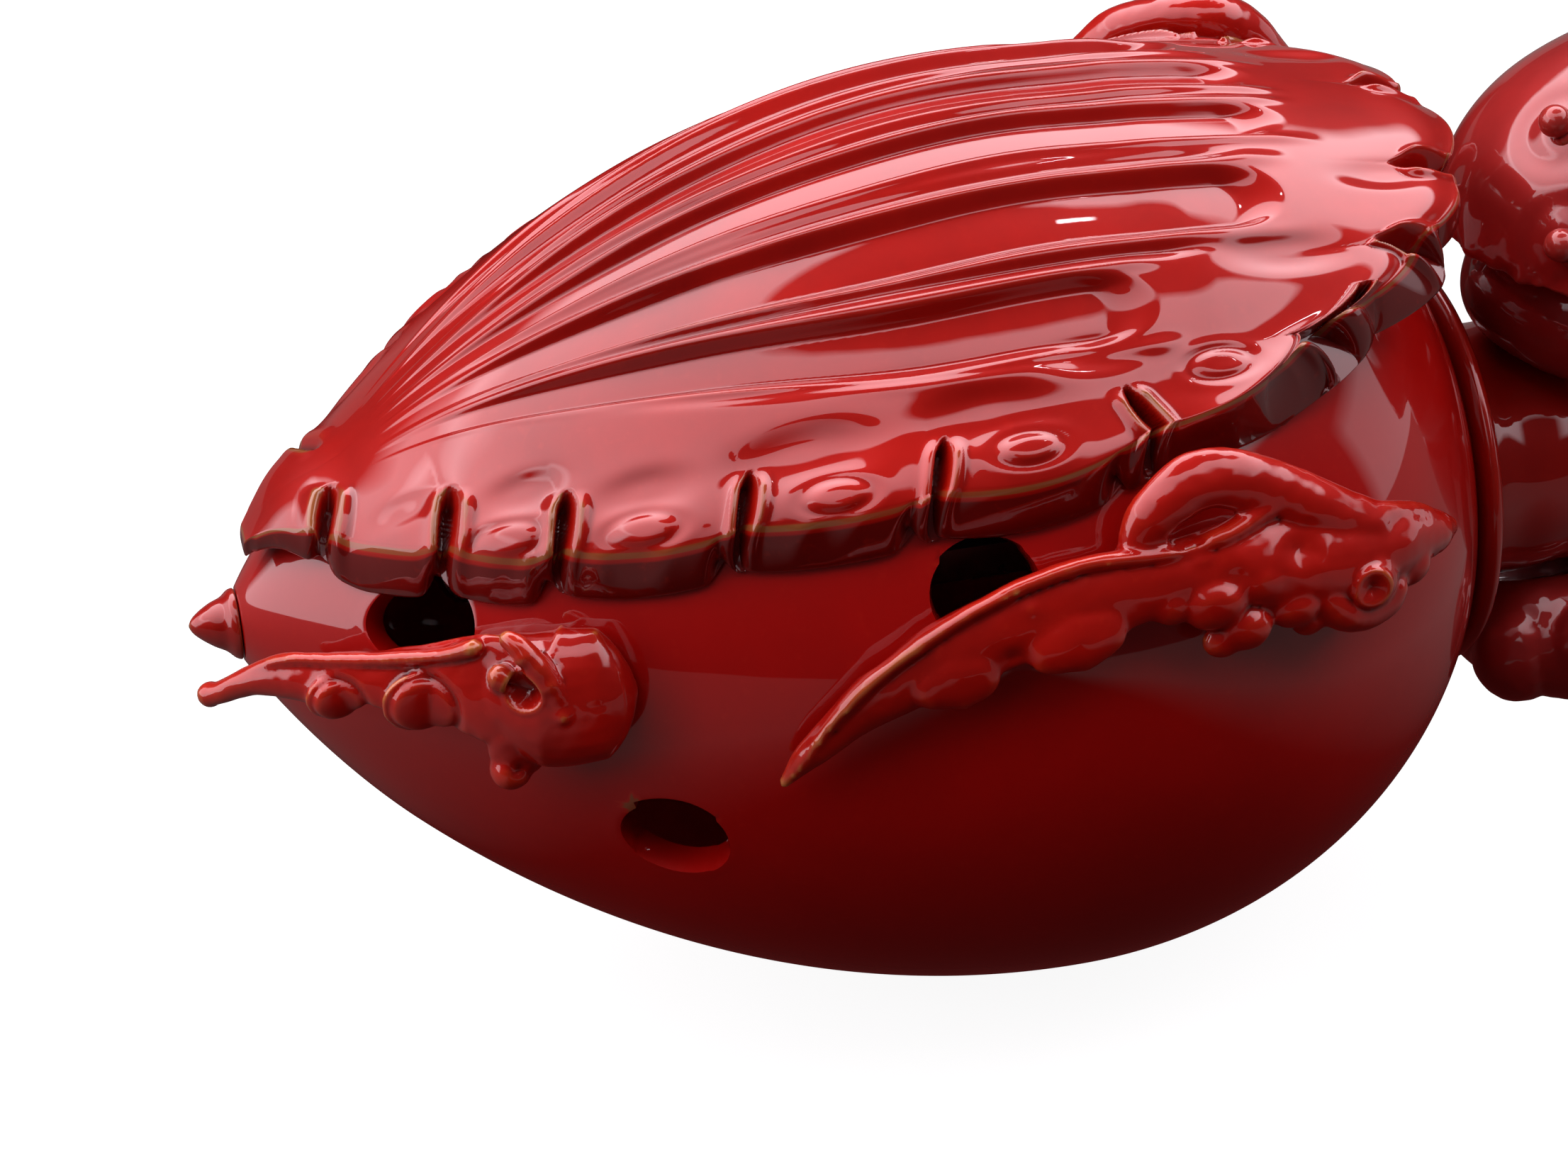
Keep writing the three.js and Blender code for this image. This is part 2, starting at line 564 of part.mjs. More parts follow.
// ---- claws: a shoulder under the rim, a lobed palm and a long spike, and a short finger --
function frontClaw(side) {
  const at = (x, angle, r) => onBody(x, angle, r, side);
  const palm = limb([
    { at: at(22.6, 26, 26.3), w: 0.8, t: 0.8 },
    { at: at(20, 26.5, 29), w: 2.0, t: 2.0 },
    { at: at(14, 26.5, 32.2), w: 3.8, t: 2.8 },
    { at: at(8, 27, 34), w: 4.2, t: 2.4 },
    { at: at(2.5, 26.5, 34.4), w: 2.8, t: 2.0 },
    { at: at(-4, 26.4, 34.3), w: 3.0, t: 1.7 },
    { at: at(-10, 24.5, 33.6), w: 2.8, t: 1.6 },
    { at: at(-16.5, 20, 32), w: 2.2, t: 1.4 },
    { at: at(-23.5, 8.5, 29.5), w: 0.5, t: 0.6 },
  ]);
  const arch = ARM_ARCH[side < 0 ? 'right' : 'left'];
  const arm = limb(arch.map(([x, angle, r, w, t]) => ({ at: at(x, angle, r), w, t })));
  const [x, angle] = CLAW_SEATS.front;
  const r = seatRadius('front');
  const boss = bar(at(x, angle, r), at(x, angle, r + BOSS_H), ...BOSS_R);
  return join(palm, arm, boss);
}

function rearClaw(side) {
  const seatX = CLAW_SEATS.rear[0];
  const turn = side > 0 ? THREE.MathUtils.degToRad(FAR_REAR_TURN) : 0;
  const reach = side > 0 ? FAR_REAR_REACH : 1;
  const at = (x, y, z) => {
    const near = x < seatX ? seatX + (x - seatX) * reach : x;
    const r = Math.hypot(y, z) + bodyRadius(near) - bodyRadius(x);
    const angle = Math.atan2(z, y) - turn;
    return [near, side * r * Math.cos(angle), AXIS_Z + r * Math.sin(angle)];
  };
  const shoulder = limb([
    { at: at(-31.4, 22.5, 7.8), w: 1.6, t: 1.2 },
    { at: at(-33.6, 22.5, 7.7), w: 4.2, t: 2.6 },
    { at: at(-37, 21.2, 6.9), w: 4.1, t: 3.0 },
    { at: at(-40.6, 18.8, 7.5), w: 2.6, t: 2.4 },
    { at: at(-43.2, 16.4, 8.2), w: 1.0, t: 1.2 },
  ]);
  const hand = limb([
    { at: at(-38.5, 21, 7.6), w: 3.3, t: 1.8 },
    { at: at(-44.7, 17.2, 7), w: 2.7, t: 1.8 },
    { at: at(-49.7, 14.1, 5.8), w: 2.0, t: 1.5 },
    { at: at(-54, 11.4, 4.3), w: 1.1, t: 1.0 },
    { at: at(-57.4, 9.3, 2.5), w: 0.9, t: 0.9 },
  ]);
  const finger = limb([
    { at: at(-39.2, 20.6, 6.5), w: 2.0, t: 1.6 },
    { at: at(-39.3, 20.7, 3.4), w: 2.2, t: 1.6 },
    { at: at(-39.6, 20.6, 0.8), w: 1.5, t: 1.2 },
  ]);
  const r = seatRadius('rear');
  const boss = bar(...clawScrewLine('rear', side, r, r + BOSS_H), ...BOSS_R);
  return join(shoulder, hand, finger, boss);
}

const bodyClearance = bodySolid(CLEAR, 36, 12);
for (const [kind, shape] of [['front', frontClaw], ['rear', rearClaw]]) {
  for (const [label, side] of sides) {
    const r = seatRadius(kind);
    const seatHole = bar(...clawScrewLine(kind, side, r - 1, r + CLAW_SCREW_REACH + 0.4), SCREW_HOLE_R);
    add(`${kind}_${label}_claw`, cut(shape(side), bodyClearance, seatHole), colours.enamel);
    const [tip, seat] = clawScrewLine(kind, side, r + CLAW_SCREW_REACH, r - CLAW_SEAT_DEPTH);
    const headEnd = clawScrewLine(kind, side, r, r - CLAW_SEAT_DEPTH - SCREW_HEAD_H)[1];
    add(`${kind}_${label}_claw_screw`, screw(tip, seat, headEnd), colours.steel);
  }
}

// ---- hinge --------------------------------------------------------------------------
function hingePin() {
  const stem = bar([HINGE_X, -6.2, hingeZ], [HINGE_X, 7.4, hingeZ], PIN_R);
  const button = bar([HINGE_X, -6.9, hingeZ], [HINGE_X, -6.15, hingeZ], 1.6, 1.9);
  const clipY = [6.3, 6.85];
  const ring = bar([HINGE_X, clipY[0], hingeZ], [HINGE_X, clipY[1], hingeZ], 2);
  const groove = cut(ring, bar([HINGE_X, 6, hingeZ], [HINGE_X, 7, hingeZ], 0.85));
  return cut(join(stem, button), groove);
}
add('hinge_pin', hingePin(), colours.steel);

function hingeClip() {
  const ring = bar([HINGE_X, 6.35, hingeZ], [HINGE_X, 6.8, hingeZ], 2.1);
  const core = bar([HINGE_X, 6, hingeZ], [HINGE_X, 7, hingeZ], 0.95);
  const gap = box([HINGE_X - 0.8, 6, hingeZ - 3], [HINGE_X + 0.8, 7, hingeZ]);
  return cut(ring, core, gap);
}
add('hinge_clip', hingeClip(), colours.steel);

for (const [label, side] of sides) {
  const y = [side * (CENTRE_KNUCKLE_Y + 0.08), side * (LUG_Y[0] - 0.08)];
  const disc = bar([HINGE_X, y[0], hingeZ], [HINGE_X, y[1], hingeZ], 2.2);
  const bore = bar([HINGE_X, -9, hingeZ], [HINGE_X, 9, hingeZ], PIN_BORE_R);
  add(`hinge_washer_${label}`, cut(disc, bore), colours.steel);
}

// ---- upper lever --------------------------------------------------------------------
function carapaceShell() {
  const upperTop = AXIS_Z + UPPER_PLATE_Z + PLATE_T + 0.3;
  const profile = [[-40, 0]];
  for (let x = -40; x <= 27; x += 6.7) profile.push([x, carapaceRadius(x) - 0.75]);
  profile.push([27, 0]);
  const inside = turned(profile, 40);
  let shell = carapaceSheet();
  for (const [sx, sy] of corners) {
    const [x, y] = [JAW_X + sx * UPPER_SCREW_X, sy * UPPER_SCREW_Y];
    shell = join(shell, common(bar([x, y, upperTop], [x, y, upperTop + 12], POST_R), inside));
  }
  const eye = bar([HINGE_X, -CENTRE_KNUCKLE_Y, hingeZ], [HINGE_X, CENTRE_KNUCKLE_Y, hingeZ], KNUCKLE_R);
  const webHigh = [HINGE_X + LUG_HALF, CENTRE_KNUCKLE_Y, hingeZ + 8];
  const web = box([HINGE_X - LUG_HALF, -CENTRE_KNUCKLE_Y, hingeZ], webHigh);
  shell = join(shell, eye, common(web, inside));
  for (const [sx, sy] of corners) {
    const [x, y] = [JAW_X + sx * UPPER_SCREW_X, sy * UPPER_SCREW_Y];
    shell = cut(shell, bar([x, y, upperTop - 1], [x, y, upperTop + POST_HOLE_DEPTH], SCREW_HOLE_R));
  }
  return cut(shell, bar([HINGE_X, -9, hingeZ], [HINGE_X, 9, hingeZ], PIN_BORE_R));
}
add('carapace_shell', carapaceShell(), colours.enamel);

const upperZ = AXIS_Z + UPPER_PLATE_Z;
const upperJaw = jawPlate(upperZ, UPPER_PLATE_X, UPPER_PLATE_Y, UPPER_SCREW_X, UPPER_SCREW_Y, -1);
add('upper_jaw_plate', upperJaw, colours.steel);
corners.forEach(([sx, sy], i) => {
  const [x, y] = [JAW_X + sx * UPPER_SCREW_X, sy * UPPER_SCREW_Y];
  const seat = upperZ - 0.05;
  const solid = screw([x, y, seat + 4.6], [x, y, seat], [x, y, seat - SCREW_HEAD_H]);
  add(`upper_plate_screw_${i + 1}`, solid, colours.steel);
});

// Rubber stop under the carapace's tail, just over the body.
function bumper() {
  const x = BUMPER_X;
  const under = carapaceRadius(x) - SHELL_T - 0.2;
  const block = bar([x, 0, AXIS_Z + bodyRadius(x) - 1], [x, 0, AXIS_Z + under + 1], BUMPER_R);
  const profile = [];
  for (let k = -52; k <= -44; k += 1) profile.push([k, carapaceRadius(k) - SHELL_T - 0.15]);
  const roof = turned([[-52, 0], ...profile, [-44, 0]], 32);
  return cut(common(block, roof), bodySolid(0.3, 40, 18));
}
add('closing_bumper', bumper(), colours.pad);

export default object;
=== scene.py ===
"""Looks for the figural lobster cracker: enamelled shells, claws, head, jaws and hinge.

Shapes are worked out in millimetres in the row frame (+X to the head, +Z up) and written
to Blender in metres. The body is a solid of revolution about a level axis at AXIS_Z, bent
up a little at the tail.
"""

import math

import bmesh
import bpy
import numpy as np
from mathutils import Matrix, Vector, noise


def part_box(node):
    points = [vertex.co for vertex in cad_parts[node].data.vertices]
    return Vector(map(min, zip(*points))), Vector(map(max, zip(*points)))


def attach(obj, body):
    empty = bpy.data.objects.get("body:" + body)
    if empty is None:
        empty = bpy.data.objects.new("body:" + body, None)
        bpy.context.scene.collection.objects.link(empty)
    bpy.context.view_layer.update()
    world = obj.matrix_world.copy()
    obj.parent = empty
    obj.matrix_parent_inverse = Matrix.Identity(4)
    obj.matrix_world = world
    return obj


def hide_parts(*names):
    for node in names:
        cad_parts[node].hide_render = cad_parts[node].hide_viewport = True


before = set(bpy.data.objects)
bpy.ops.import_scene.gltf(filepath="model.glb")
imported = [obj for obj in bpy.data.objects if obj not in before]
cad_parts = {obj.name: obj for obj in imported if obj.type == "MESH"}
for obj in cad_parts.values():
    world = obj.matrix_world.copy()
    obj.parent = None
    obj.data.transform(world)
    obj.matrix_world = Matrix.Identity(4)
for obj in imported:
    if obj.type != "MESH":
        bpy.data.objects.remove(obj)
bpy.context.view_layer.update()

MM = 0.001
LOWER = "lower_lever"
UPPER = "upper_lever"


def mm_box(node):
    low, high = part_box(node)
    return np.array(low) / MM, np.array(high) / MM


# ---- sizes from the frame ------------------------------------------------------------
neck_low, neck_high = mm_box("neck")
belly_low, belly_high = mm_box("belly_shell")
collar_low, collar_high = mm_box("neck_collar")
cap_low, _ = mm_box("tail_cap")
cover_low, _ = mm_box("carapace_shell")

AXIS_Z = (neck_low[2] + neck_high[2]) / 2
BODY_R = belly_high[1] + 0.12
TAIL_CUT_X = belly_low[0]
FRONT_X = belly_high[0]
NECK_R = (neck_high[2] - neck_low[2]) / 2
COLLAR_R = (collar_high[2] - collar_low[2]) / 2
TAIL_TIP_X = cover_low[0]
CAP_TIP_X = cap_low[0]

TAIL_LENGTH = 55.5
TAIL_POWER = 0.8
FRONT_LENGTH = 33.0
FRONT_POWER = 0.455
WALL = 2.0
HOLE_R = 3.1
HOLES = ((-43.8, 32.3), (-10.2, 28.1), (-29.8, -9.3))     # X, angle above the side
MOUTH_Z = 23.3
MOUTH_SLOPE = 0.24
FLOOR_Z = 1.2

# The carapace's outline: its front edge runs back from HOOD_X to the corner on each side.
HOOD_X = 29.9
CORNER_X = 9.8
SWEEP = 6.2                 # how far back the front edge is at SWEEP_ANGLE from the mid line
SWEEP_ANGLE = 27.0
SWEEP_POWER = 2.66
RIM_REACH = 49.8            # angle of the side rim from the mid line, at its widest
RIM_FRONT_FALL = 7.8
RIM_TAIL_FALL = 42.0
FRONT_LOBE = 2.2            # how far the front lobes stand out


def smooth(v):
    v = np.clip(v, 0, 1)
    return v * v * (3 - 2 * v)


def lift(x):
    return 1.5 * smooth((-44 - np.asarray(x, float)) / 16)


def body_radius(x):
    x = np.asarray(x, float)
    rear = np.maximum(0, 1 - (np.minimum(x, 0) / TAIL_LENGTH) ** 2) ** TAIL_POWER
    front = np.maximum(0, 1 - (np.maximum(x, 0) / FRONT_LENGTH) ** 2) ** FRONT_POWER
    return BODY_R * rear * front


def on_body(x, angle, r, side=-1.0):
    """Point at radius r and an angle (degrees) above the side; side -1 is the near side."""
    a = np.radians(angle)
    x, y, z = np.broadcast_arrays(x, side * r * np.cos(a), AXIS_Z + lift(x) + r * np.sin(a))
    return np.stack([x, y, z], -1)


# ---- mesh helpers --------------------------------------------------------------------
def new_mesh(name, points, faces, smooth_shade=True):
    mesh = bpy.data.meshes.new(name)
    mesh.from_pydata((np.asarray(points) * MM).tolist(), [], [list(f) for f in faces])
    mesh.validate()
    mesh.polygons.foreach_set("use_smooth", [smooth_shade] * len(mesh.polygons))
    mesh.update()
    obj = bpy.data.objects.new(name, mesh)
    bpy.context.scene.collection.objects.link(obj)
    return obj


def grid_faces(nu, nv, close_v=False):
    u = np.arange(nu - 1)[:, None]
    v = np.arange(nv if close_v else nv - 1)[None, :]
    w = (v + 1) % nv
    quads = np.stack([u * nv + v, u * nv + w, (u + 1) * nv + w, (u + 1) * nv + v], -1)
    return quads.reshape(-1, 4)


def apply_modifiers(obj):
    """Bakes the modifiers into the mesh, so that later code reads the final shape."""
    graph = bpy.context.evaluated_depsgraph_get()
    mesh = bpy.data.meshes.new_from_object(obj.evaluated_get(graph))
    obj.modifiers.clear()
    obj.data = mesh
    return obj


def face_outwards(obj):
    bm = bmesh.new()
    bm.from_mesh(obj.data)
    bmesh.ops.recalc_face_normals(bm, faces=bm.faces)
    bm.to_mesh(obj.data)
    bm.free()


def read_points(obj):
    co = np.empty(len(obj.data.vertices) * 3)
    obj.data.vertices.foreach_get("co", co)
    return co.reshape(-1, 3)


def write_points(obj, co):
    obj.data.vertices.foreach_set("co", co.ravel())
    obj.data.update()


def mark_edges(obj, rounds=4):
    """Stores how convex each point is: 0.5 on flats, towards 1 on edges and 0 in grooves."""
    mesh = obj.data
    co = read_points(obj)
    normal = np.empty(len(mesh.vertices) * 3)
    mesh.vertices.foreach_get("normal", normal)
    normal = normal.reshape(-1, 3)
    pairs = np.empty(len(mesh.edges) * 2, int)
    mesh.edges.foreach_get("vertices", pairs)
    pairs = pairs.reshape(-1, 2)
    count = np.bincount(pairs.ravel(), minlength=len(co)).clip(1)[:, None]

    def around(values):
        total = np.zeros_like(values)
        np.add.at(total, pairs[:, 0], values[pairs[:, 1]])
        np.add.at(total, pairs[:, 1], values[pairs[:, 0]])
        return total / count

    length = np.linalg.norm(co[pairs[:, 0]] - co[pairs[:, 1]], axis=1)
    spread = np.zeros(len(co))
    np.add.at(spread, pairs[:, 0], length)
    np.add.at(spread, pairs[:, 1], length)
    spread = (spread / count[:, 0]).clip(1e-7)
    bend = ((co - around(co)) * normal).sum(1) / spread ** 2 * MM
    value = bend[:, None]
    for _ in range(rounds):
        value = 0.5 * value + 0.5 * around(value)
    attribute = mesh.attributes.new("edge", "FLOAT", "POINT")
    attribute.data.foreach_set("value", (0.5 + 0.5 * np.tanh(value[:, 0] * 1.2)).astype(np.float32))


def finish_piece(obj, body, material, slot_name, *nodes):
    obj.data.materials.clear()
    obj.data.materials.append(material)
    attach(obj, body)
    if nodes:
        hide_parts(*nodes)
    return obj


# ---- sculpting -----------------------------------------------------------------------
def tube(stations, facets=26, steps=9, ends=True):
    """Points and faces of a limb: (centre, half width, half thickness) along a smooth line.

    The width lies across the outward direction from the body's axis, the thickness along it.
    """
    centre = np.array([s[0] for s in stations], float)
    size = np.array([[s[1], s[2]] for s in stations], float)
    k = np.linspace(0, len(centre) - 1, (len(centre) - 1) * steps + 1)
    i = np.minimum(k.astype(int), len(centre) - 2)
    f = (k - i)[:, None]
    before = np.vstack([2 * centre[0] - centre[1], centre, 2 * centre[-1] - centre[-2]])
    a, b, c, d = before[i], before[i + 1], before[i + 2], before[i + 3]
    line = 0.5 * (2 * b + (c - a) * f + (2 * a - 5 * b + 4 * c - d) * f ** 2
                  + (3 * b - a - 3 * c + d) * f ** 3)
    wide = size[i] * (1 - f) + size[i + 1] * f
    along = np.gradient(line, axis=0)
    along /= np.linalg.norm(along, axis=1)[:, None]
    run = np.r_[0, np.cumsum(np.linalg.norm(np.diff(line, axis=0), axis=1))]
    if ends:
        for gap, r in ((run, wide[0].mean()), (run[-1] - run, wide[-1].mean())):
            q = np.clip(gap / max(r, 1e-3), 0.02, 1)
            wide = wide * np.sqrt(1 - (1 - q) ** 2)[:, None]
    out = line - np.stack([line[:, 0], line[:, 0] * 0, line[:, 0] * 0 + AXIS_Z], -1)
    out /= np.linalg.norm(out, axis=1)[:, None].clip(1e-6)
    across = np.cross(along, out)
    across /= np.linalg.norm(across, axis=1)[:, None]
    rise = np.cross(across, along)
    turn = np.arange(facets) / facets * 2 * math.pi
    ring = (line[:, None] + across[:, None] * (wide[:, :1] * np.cos(turn))[..., None]
            + rise[:, None] * (wide[:, 1:] * np.sin(turn))[..., None])
    faces = grid_faces(len(line), facets, close_v=True).tolist()
    faces.append(list(range(facets))[::-1])
    faces.append([(len(line) - 1) * facets + j for j in range(facets)])
    return ring.reshape(-1, 3), faces


def ball(at, radii, rings=20, power=1.0):
    """Points and faces of an egg; a power under 1 squares it off."""
    v = np.linspace(0, math.pi, rings)[1:-1]
    u = np.arange(2 * rings) / (2 * rings) * 2 * math.pi
    s = np.stack([np.sin(v)[:, None] * np.cos(u), np.sin(v)[:, None] * np.sin(u),
                  np.cos(v)[:, None] * np.ones(len(u))], -1)
    s = np.sign(s) * np.abs(s) ** power
    points = np.asarray(at) + s.reshape(-1, 3) * np.asarray(radii)
    n = len(u)
    top = len(points)
    faces = grid_faces(len(v), n, close_v=True).tolist()
    faces += [[top, (j + 1) % n, j] for j in range(n)]
    faces += [[top + 1, (len(v) - 1) * n + j, (len(v) - 1) * n + (j + 1) % n] for j in range(n)]
    pole = np.asarray(radii) * (0, 0, 1)
    return np.vstack([points, np.asarray(at) + pole, np.asarray(at) - pole]), faces


def merge(name, shapes, voxel=0.22, soften=8):
    """Welds shapes into one skin and rounds the seams between them."""
    points, faces, base = [], [], 0
    for p, f in shapes:
        points.append(p)
        faces += [[i + base for i in face] for face in f]
        base += len(p)
    obj = new_mesh(name, np.vstack(points), faces)
    face_outwards(obj)
    skin = obj.modifiers.new("skin", "REMESH")
    skin.mode = "VOXEL"
    skin.voxel_size = voxel * MM
    skin.use_smooth_shade = True
    soft = obj.modifiers.new("soft", "SMOOTH")
    soft.factor = 0.5
    soft.iterations = soften
    apply_modifiers(obj)
    keep_largest(obj)
    return obj


def keep_largest(obj):
    """Removes any loose crumb left by the welding."""
    bm = bmesh.new()
    bm.from_mesh(obj.data)
    bm.verts.ensure_lookup_table()
    seen = np.full(len(bm.verts), -1)
    sizes = []
    for start in bm.verts:
        if seen[start.index] >= 0:
            continue
        seen[start.index] = len(sizes)
        stack = [start]
        count = 0
        while stack:
            v = stack.pop()
            count += 1
            for e in v.link_edges:
                w = e.other_vert(v)
                if seen[w.index] < 0:
                    seen[w.index] = len(sizes)
                    stack.append(w)
        sizes.append(count)
    if len(sizes) > 1:
        best = int(np.argmax(sizes))
        bmesh.ops.delete(bm, geom=[v for v in bm.verts if seen[v.index] != best], context="VERTS")
        bm.to_mesh(obj.data)
    bm.free()


def normals_of(obj):
    normal = np.empty(len(obj.data.vertices) * 3)
    obj.data.vertices.foreach_get("normal", normal)
    return normal.reshape(-1, 3)


def lumps(co, scale, seed=0.0, octaves=2):
    """Smooth noise at each point, in mm."""
    shift = Vector((seed, seed * 1.7, -seed))
    return np.array([noise.fractal(Vector(p) * scale + shift, 1.0, 2.0, octaves) for p in co])


def shape_skin(obj, change):
    """Moves each point along its normal by change(points in mm), also in mm."""
    co = read_points(obj) / MM
    write_points(obj, (co + normals_of(obj) * change(co)[:, None]) * MM)


def dent(co, at, radius, depth):
    return -depth * np.exp(-(np.linalg.norm(co - np.asarray(at), axis=1) / radius) ** 2)


def ring_mark(co, at, radius, width, height):
    d = np.linalg.norm(co - np.asarray(at), axis=1)
    return height * np.exp(-((d - radius) / width) ** 2)


def rest_on_body(obj, gap=0.3):
    """Presses the inner side of a piece flat on the body, a small gap over it."""
    co = read_points(obj) / MM
    mid = AXIS_Z + lift(co[:, 0])
    r = np.hypot(co[:, 1], co[:, 2] - mid)
    least = body_radius(co[:, 0]) + gap
    scale = np.maximum(1, least / r.clip(1e-6))
    co[:, 1] *= scale
    co[:, 2] = mid + (co[:, 2] - mid) * scale
    write_points(obj, co * MM)


def lathe(name, profile, facets=160, wave=0.0):
    """A solid of revolution about the body's axis from [x, r] points, slightly hand-thrown."""
    profile = np.array(profile, float)
    turn = np.arange(facets) / facets * 2 * math.pi
    x, a = np.meshgrid(profile[:, 0], turn, indexing="ij")
    r = np.meshgrid(profile[:, 1], turn, indexing="ij")[0]
    r = r + wave * (np.sin(2 * a + 0.7) + 0.6 * np.sin(3 * a + x * 0.3))
    points = np.stack([x, r * np.cos(a), AXIS_Z + lift(x) + r * np.sin(a)], -1).reshape(-1, 3)
    faces = grid_faces(len(profile), facets, close_v=True).tolist()
    faces.append(list(range(facets))[::-1])
    faces.append([(len(profile) - 1) * facets + j for j in range(facets)])
    obj = new_mesh(name, points, faces)
    face_outwards(obj)
    for face in obj.data.polygons:
        face.use_smooth = len(face.vertices) == 4
    return obj


def rounded_profile(knots, steps=8):
    """Resamples [x, r] knots along a smooth line."""
    knots = np.array(knots, float)
    run = np.r_[0, np.cumsum(np.hypot(*np.diff(knots, axis=0).T))]
    fine = np.linspace(0, run[-1], (len(knots) - 1) * steps + 1)
    line = np.stack([np.interp(fine, run, knots[:, k]) for k in (0, 1)], -1)
    for _ in range(steps):
        line[1:-1] = 0.25 * line[:-2] + 0.5 * line[1:-1] + 0.25 * line[2:]
    return line


# ---- materials -----------------------------------------------------------------------
class Nodes:
    """A short way to write a node tree."""

    def __init__(self, name):
        self.material = bpy.data.materials.new(name)
        self.material.use_nodes = True
        self.tree = self.material.node_tree
        self.tree.nodes.clear()

    def add(self, kind, inputs=None, **settings):
        node = self.tree.nodes.new("ShaderNode" + kind)
        for key, value in settings.items():
            setattr(node, key, value)
        for key, value in (inputs or {}).items():
            if isinstance(value, bpy.types.NodeSocket):
                self.tree.links.new(value, node.inputs[key])
            else:
                node.inputs[key].default_value = value
        return node

    def ramp(self, value, stops):
        node = self.add("ValToRGB", {"Fac": value})
        elements = node.color_ramp.elements
        while len(elements) < len(stops):
            elements.new(0.5)
        for element, (place, colour) in zip(elements, stops):
            element.position = place
            element.color = colour
        return node.outputs["Color"]

    def mix(self, factor, a, b, blend="MIX"):
        node = self.add("Mix", data_type="RGBA", blend_type=blend)
        for socket, value in zip((node.inputs[0], node.inputs[6], node.inputs[7]), (factor, a, b)):
            if isinstance(value, bpy.types.NodeSocket):
                self.tree.links.new(value, socket)
            else:
                socket.default_value = value
        return node.outputs[2]

    def maths(self, operation, a, b=0.5, clamp=False):
        return self.add("Math", {0: a, 1: b}, operation=operation, use_clamp=clamp).outputs[0]

    def noise(self, place, scale, detail, rough=0.5):
        inputs = {"Vector": place, "Scale": scale, "Detail": detail, "Roughness": rough}
        return self.add("TexNoise", inputs).outputs["Fac"]

    def bump(self, strength, distance, height):
        inputs = {"Strength": strength, "Distance": distance, "Height": height}
        return self.add("Bump", inputs).outputs["Normal"]

    def finish(self, shader):
        self.add("OutputMaterial", {"Surface": shader})
        return self.material


def grey(v):
    return (v, v, v, 1)


def enamel(name, thin, body, deep, gold, metal=0.2, ripple_height=0.012, coat_rough=0.02):
    """Translucent enamel on brass: darker in grooves, partly as pooled enamel and partly as painted shade;
    thins to gold-brown on edges.
    """
    n = Nodes(name)
    place = n.add("TexCoord").outputs["Object"]
    edge = n.add("Attribute", attribute_name="edge").outputs["Fac"]
    cloud = n.noise(place, 60.0, 6.0, 0.62)
    fine = n.noise(place, 1100.0, 2.0, 0.6)
    # painted shade: concave places (edge near 0) take the deep colour, part pooled enamel and part painted
    # groove shade
    pooled_and_shaded = n.ramp(edge, [(0.05, deep), (0.42, body), (0.6, body), (0.74, thin)])
    shade = n.ramp(cloud, [(0.3, grey(0.0)), (0.75, grey(0.55))])
    clouded = n.mix(shade, pooled_and_shaded, deep)
    speckled = n.mix(n.ramp(fine, [(0.6, grey(0)), (0.8, grey(0.22))]), clouded, thin)
    uneven = n.maths("ADD", edge, n.maths("MULTIPLY", n.maths("SUBTRACT", cloud, 0.5), 0.3))
    worn = n.ramp(uneven, [(0.78, grey(0)), (0.92, grey(0.9))])
    colour = n.mix(worn, speckled, gold)
    ripple = n.noise(place, 120.0, 2.0)
    peel = n.noise(place, 1300.0, 1.0)
    height = n.maths("ADD", ripple, n.maths("MULTIPLY", peel, 0.012))
    bump = n.bump(0.35, ripple_height * MM * 10, height)
    shader = n.add("BsdfPrincipled", {
        "Base Color": colour, "Metallic": metal, "Roughness": 0.42, "Normal": bump,
        "Specular IOR Level": 0.1, "Coat Weight": 1.0, "Coat Roughness": coat_rough, "Coat IOR": 1.6,
        "Coat Normal": bump,
    })
    return n.finish(shader.outputs[0])


def machined(name, colour, rough, axis_scale):
    """Stainless steel with fine directional marks and slight smudges."""
    n = Nodes(name)
    place = n.add("TexCoord").outputs["Object"]
    stretched = n.add("Mapping", {"Vector": place, "Scale": axis_scale}).outputs[0]
    lines = n.noise(stretched, 900.0, 6.0)
    smudge = n.noise(place, 120.0, 4.0)
    tone = n.mix(n.maths("MULTIPLY", smudge, 0.35), colour, (*[c * 0.55 for c in colour[:3]], 1))
    roughness = n.maths("ADD", n.maths("MULTIPLY", lines, 0.22), rough)
    bump = n.bump(0.25, 0.00002, lines)
    shader = n.add("BsdfPrincipled", {
        "Base Color": tone, "Metallic": 1.0, "Roughness": roughness, "Normal": bump, "Anisotropic": 0.4,
    })
    return n.finish(shader.outputs[0])


def rubber_material():
    n = Nodes("black_rubber")
    place = n.add("TexCoord").outputs["Object"]
    grain = n.noise(place, 2500.0, 4.0)
    dust = n.noise(place, 200.0, 5.0)
    tone = n.ramp(dust, [(0.35, grey(0.012)), (0.8, grey(0.03))])
    bump = n.bump(0.4, 0.00003, grain)
    rough = n.maths("ADD", n.maths("MULTIPLY", dust, 0.2), 0.6)
    shader = n.add("BsdfPrincipled", {"Base Color": tone, "Roughness": rough, "Normal": bump})
    return n.finish(shader.outputs[0])
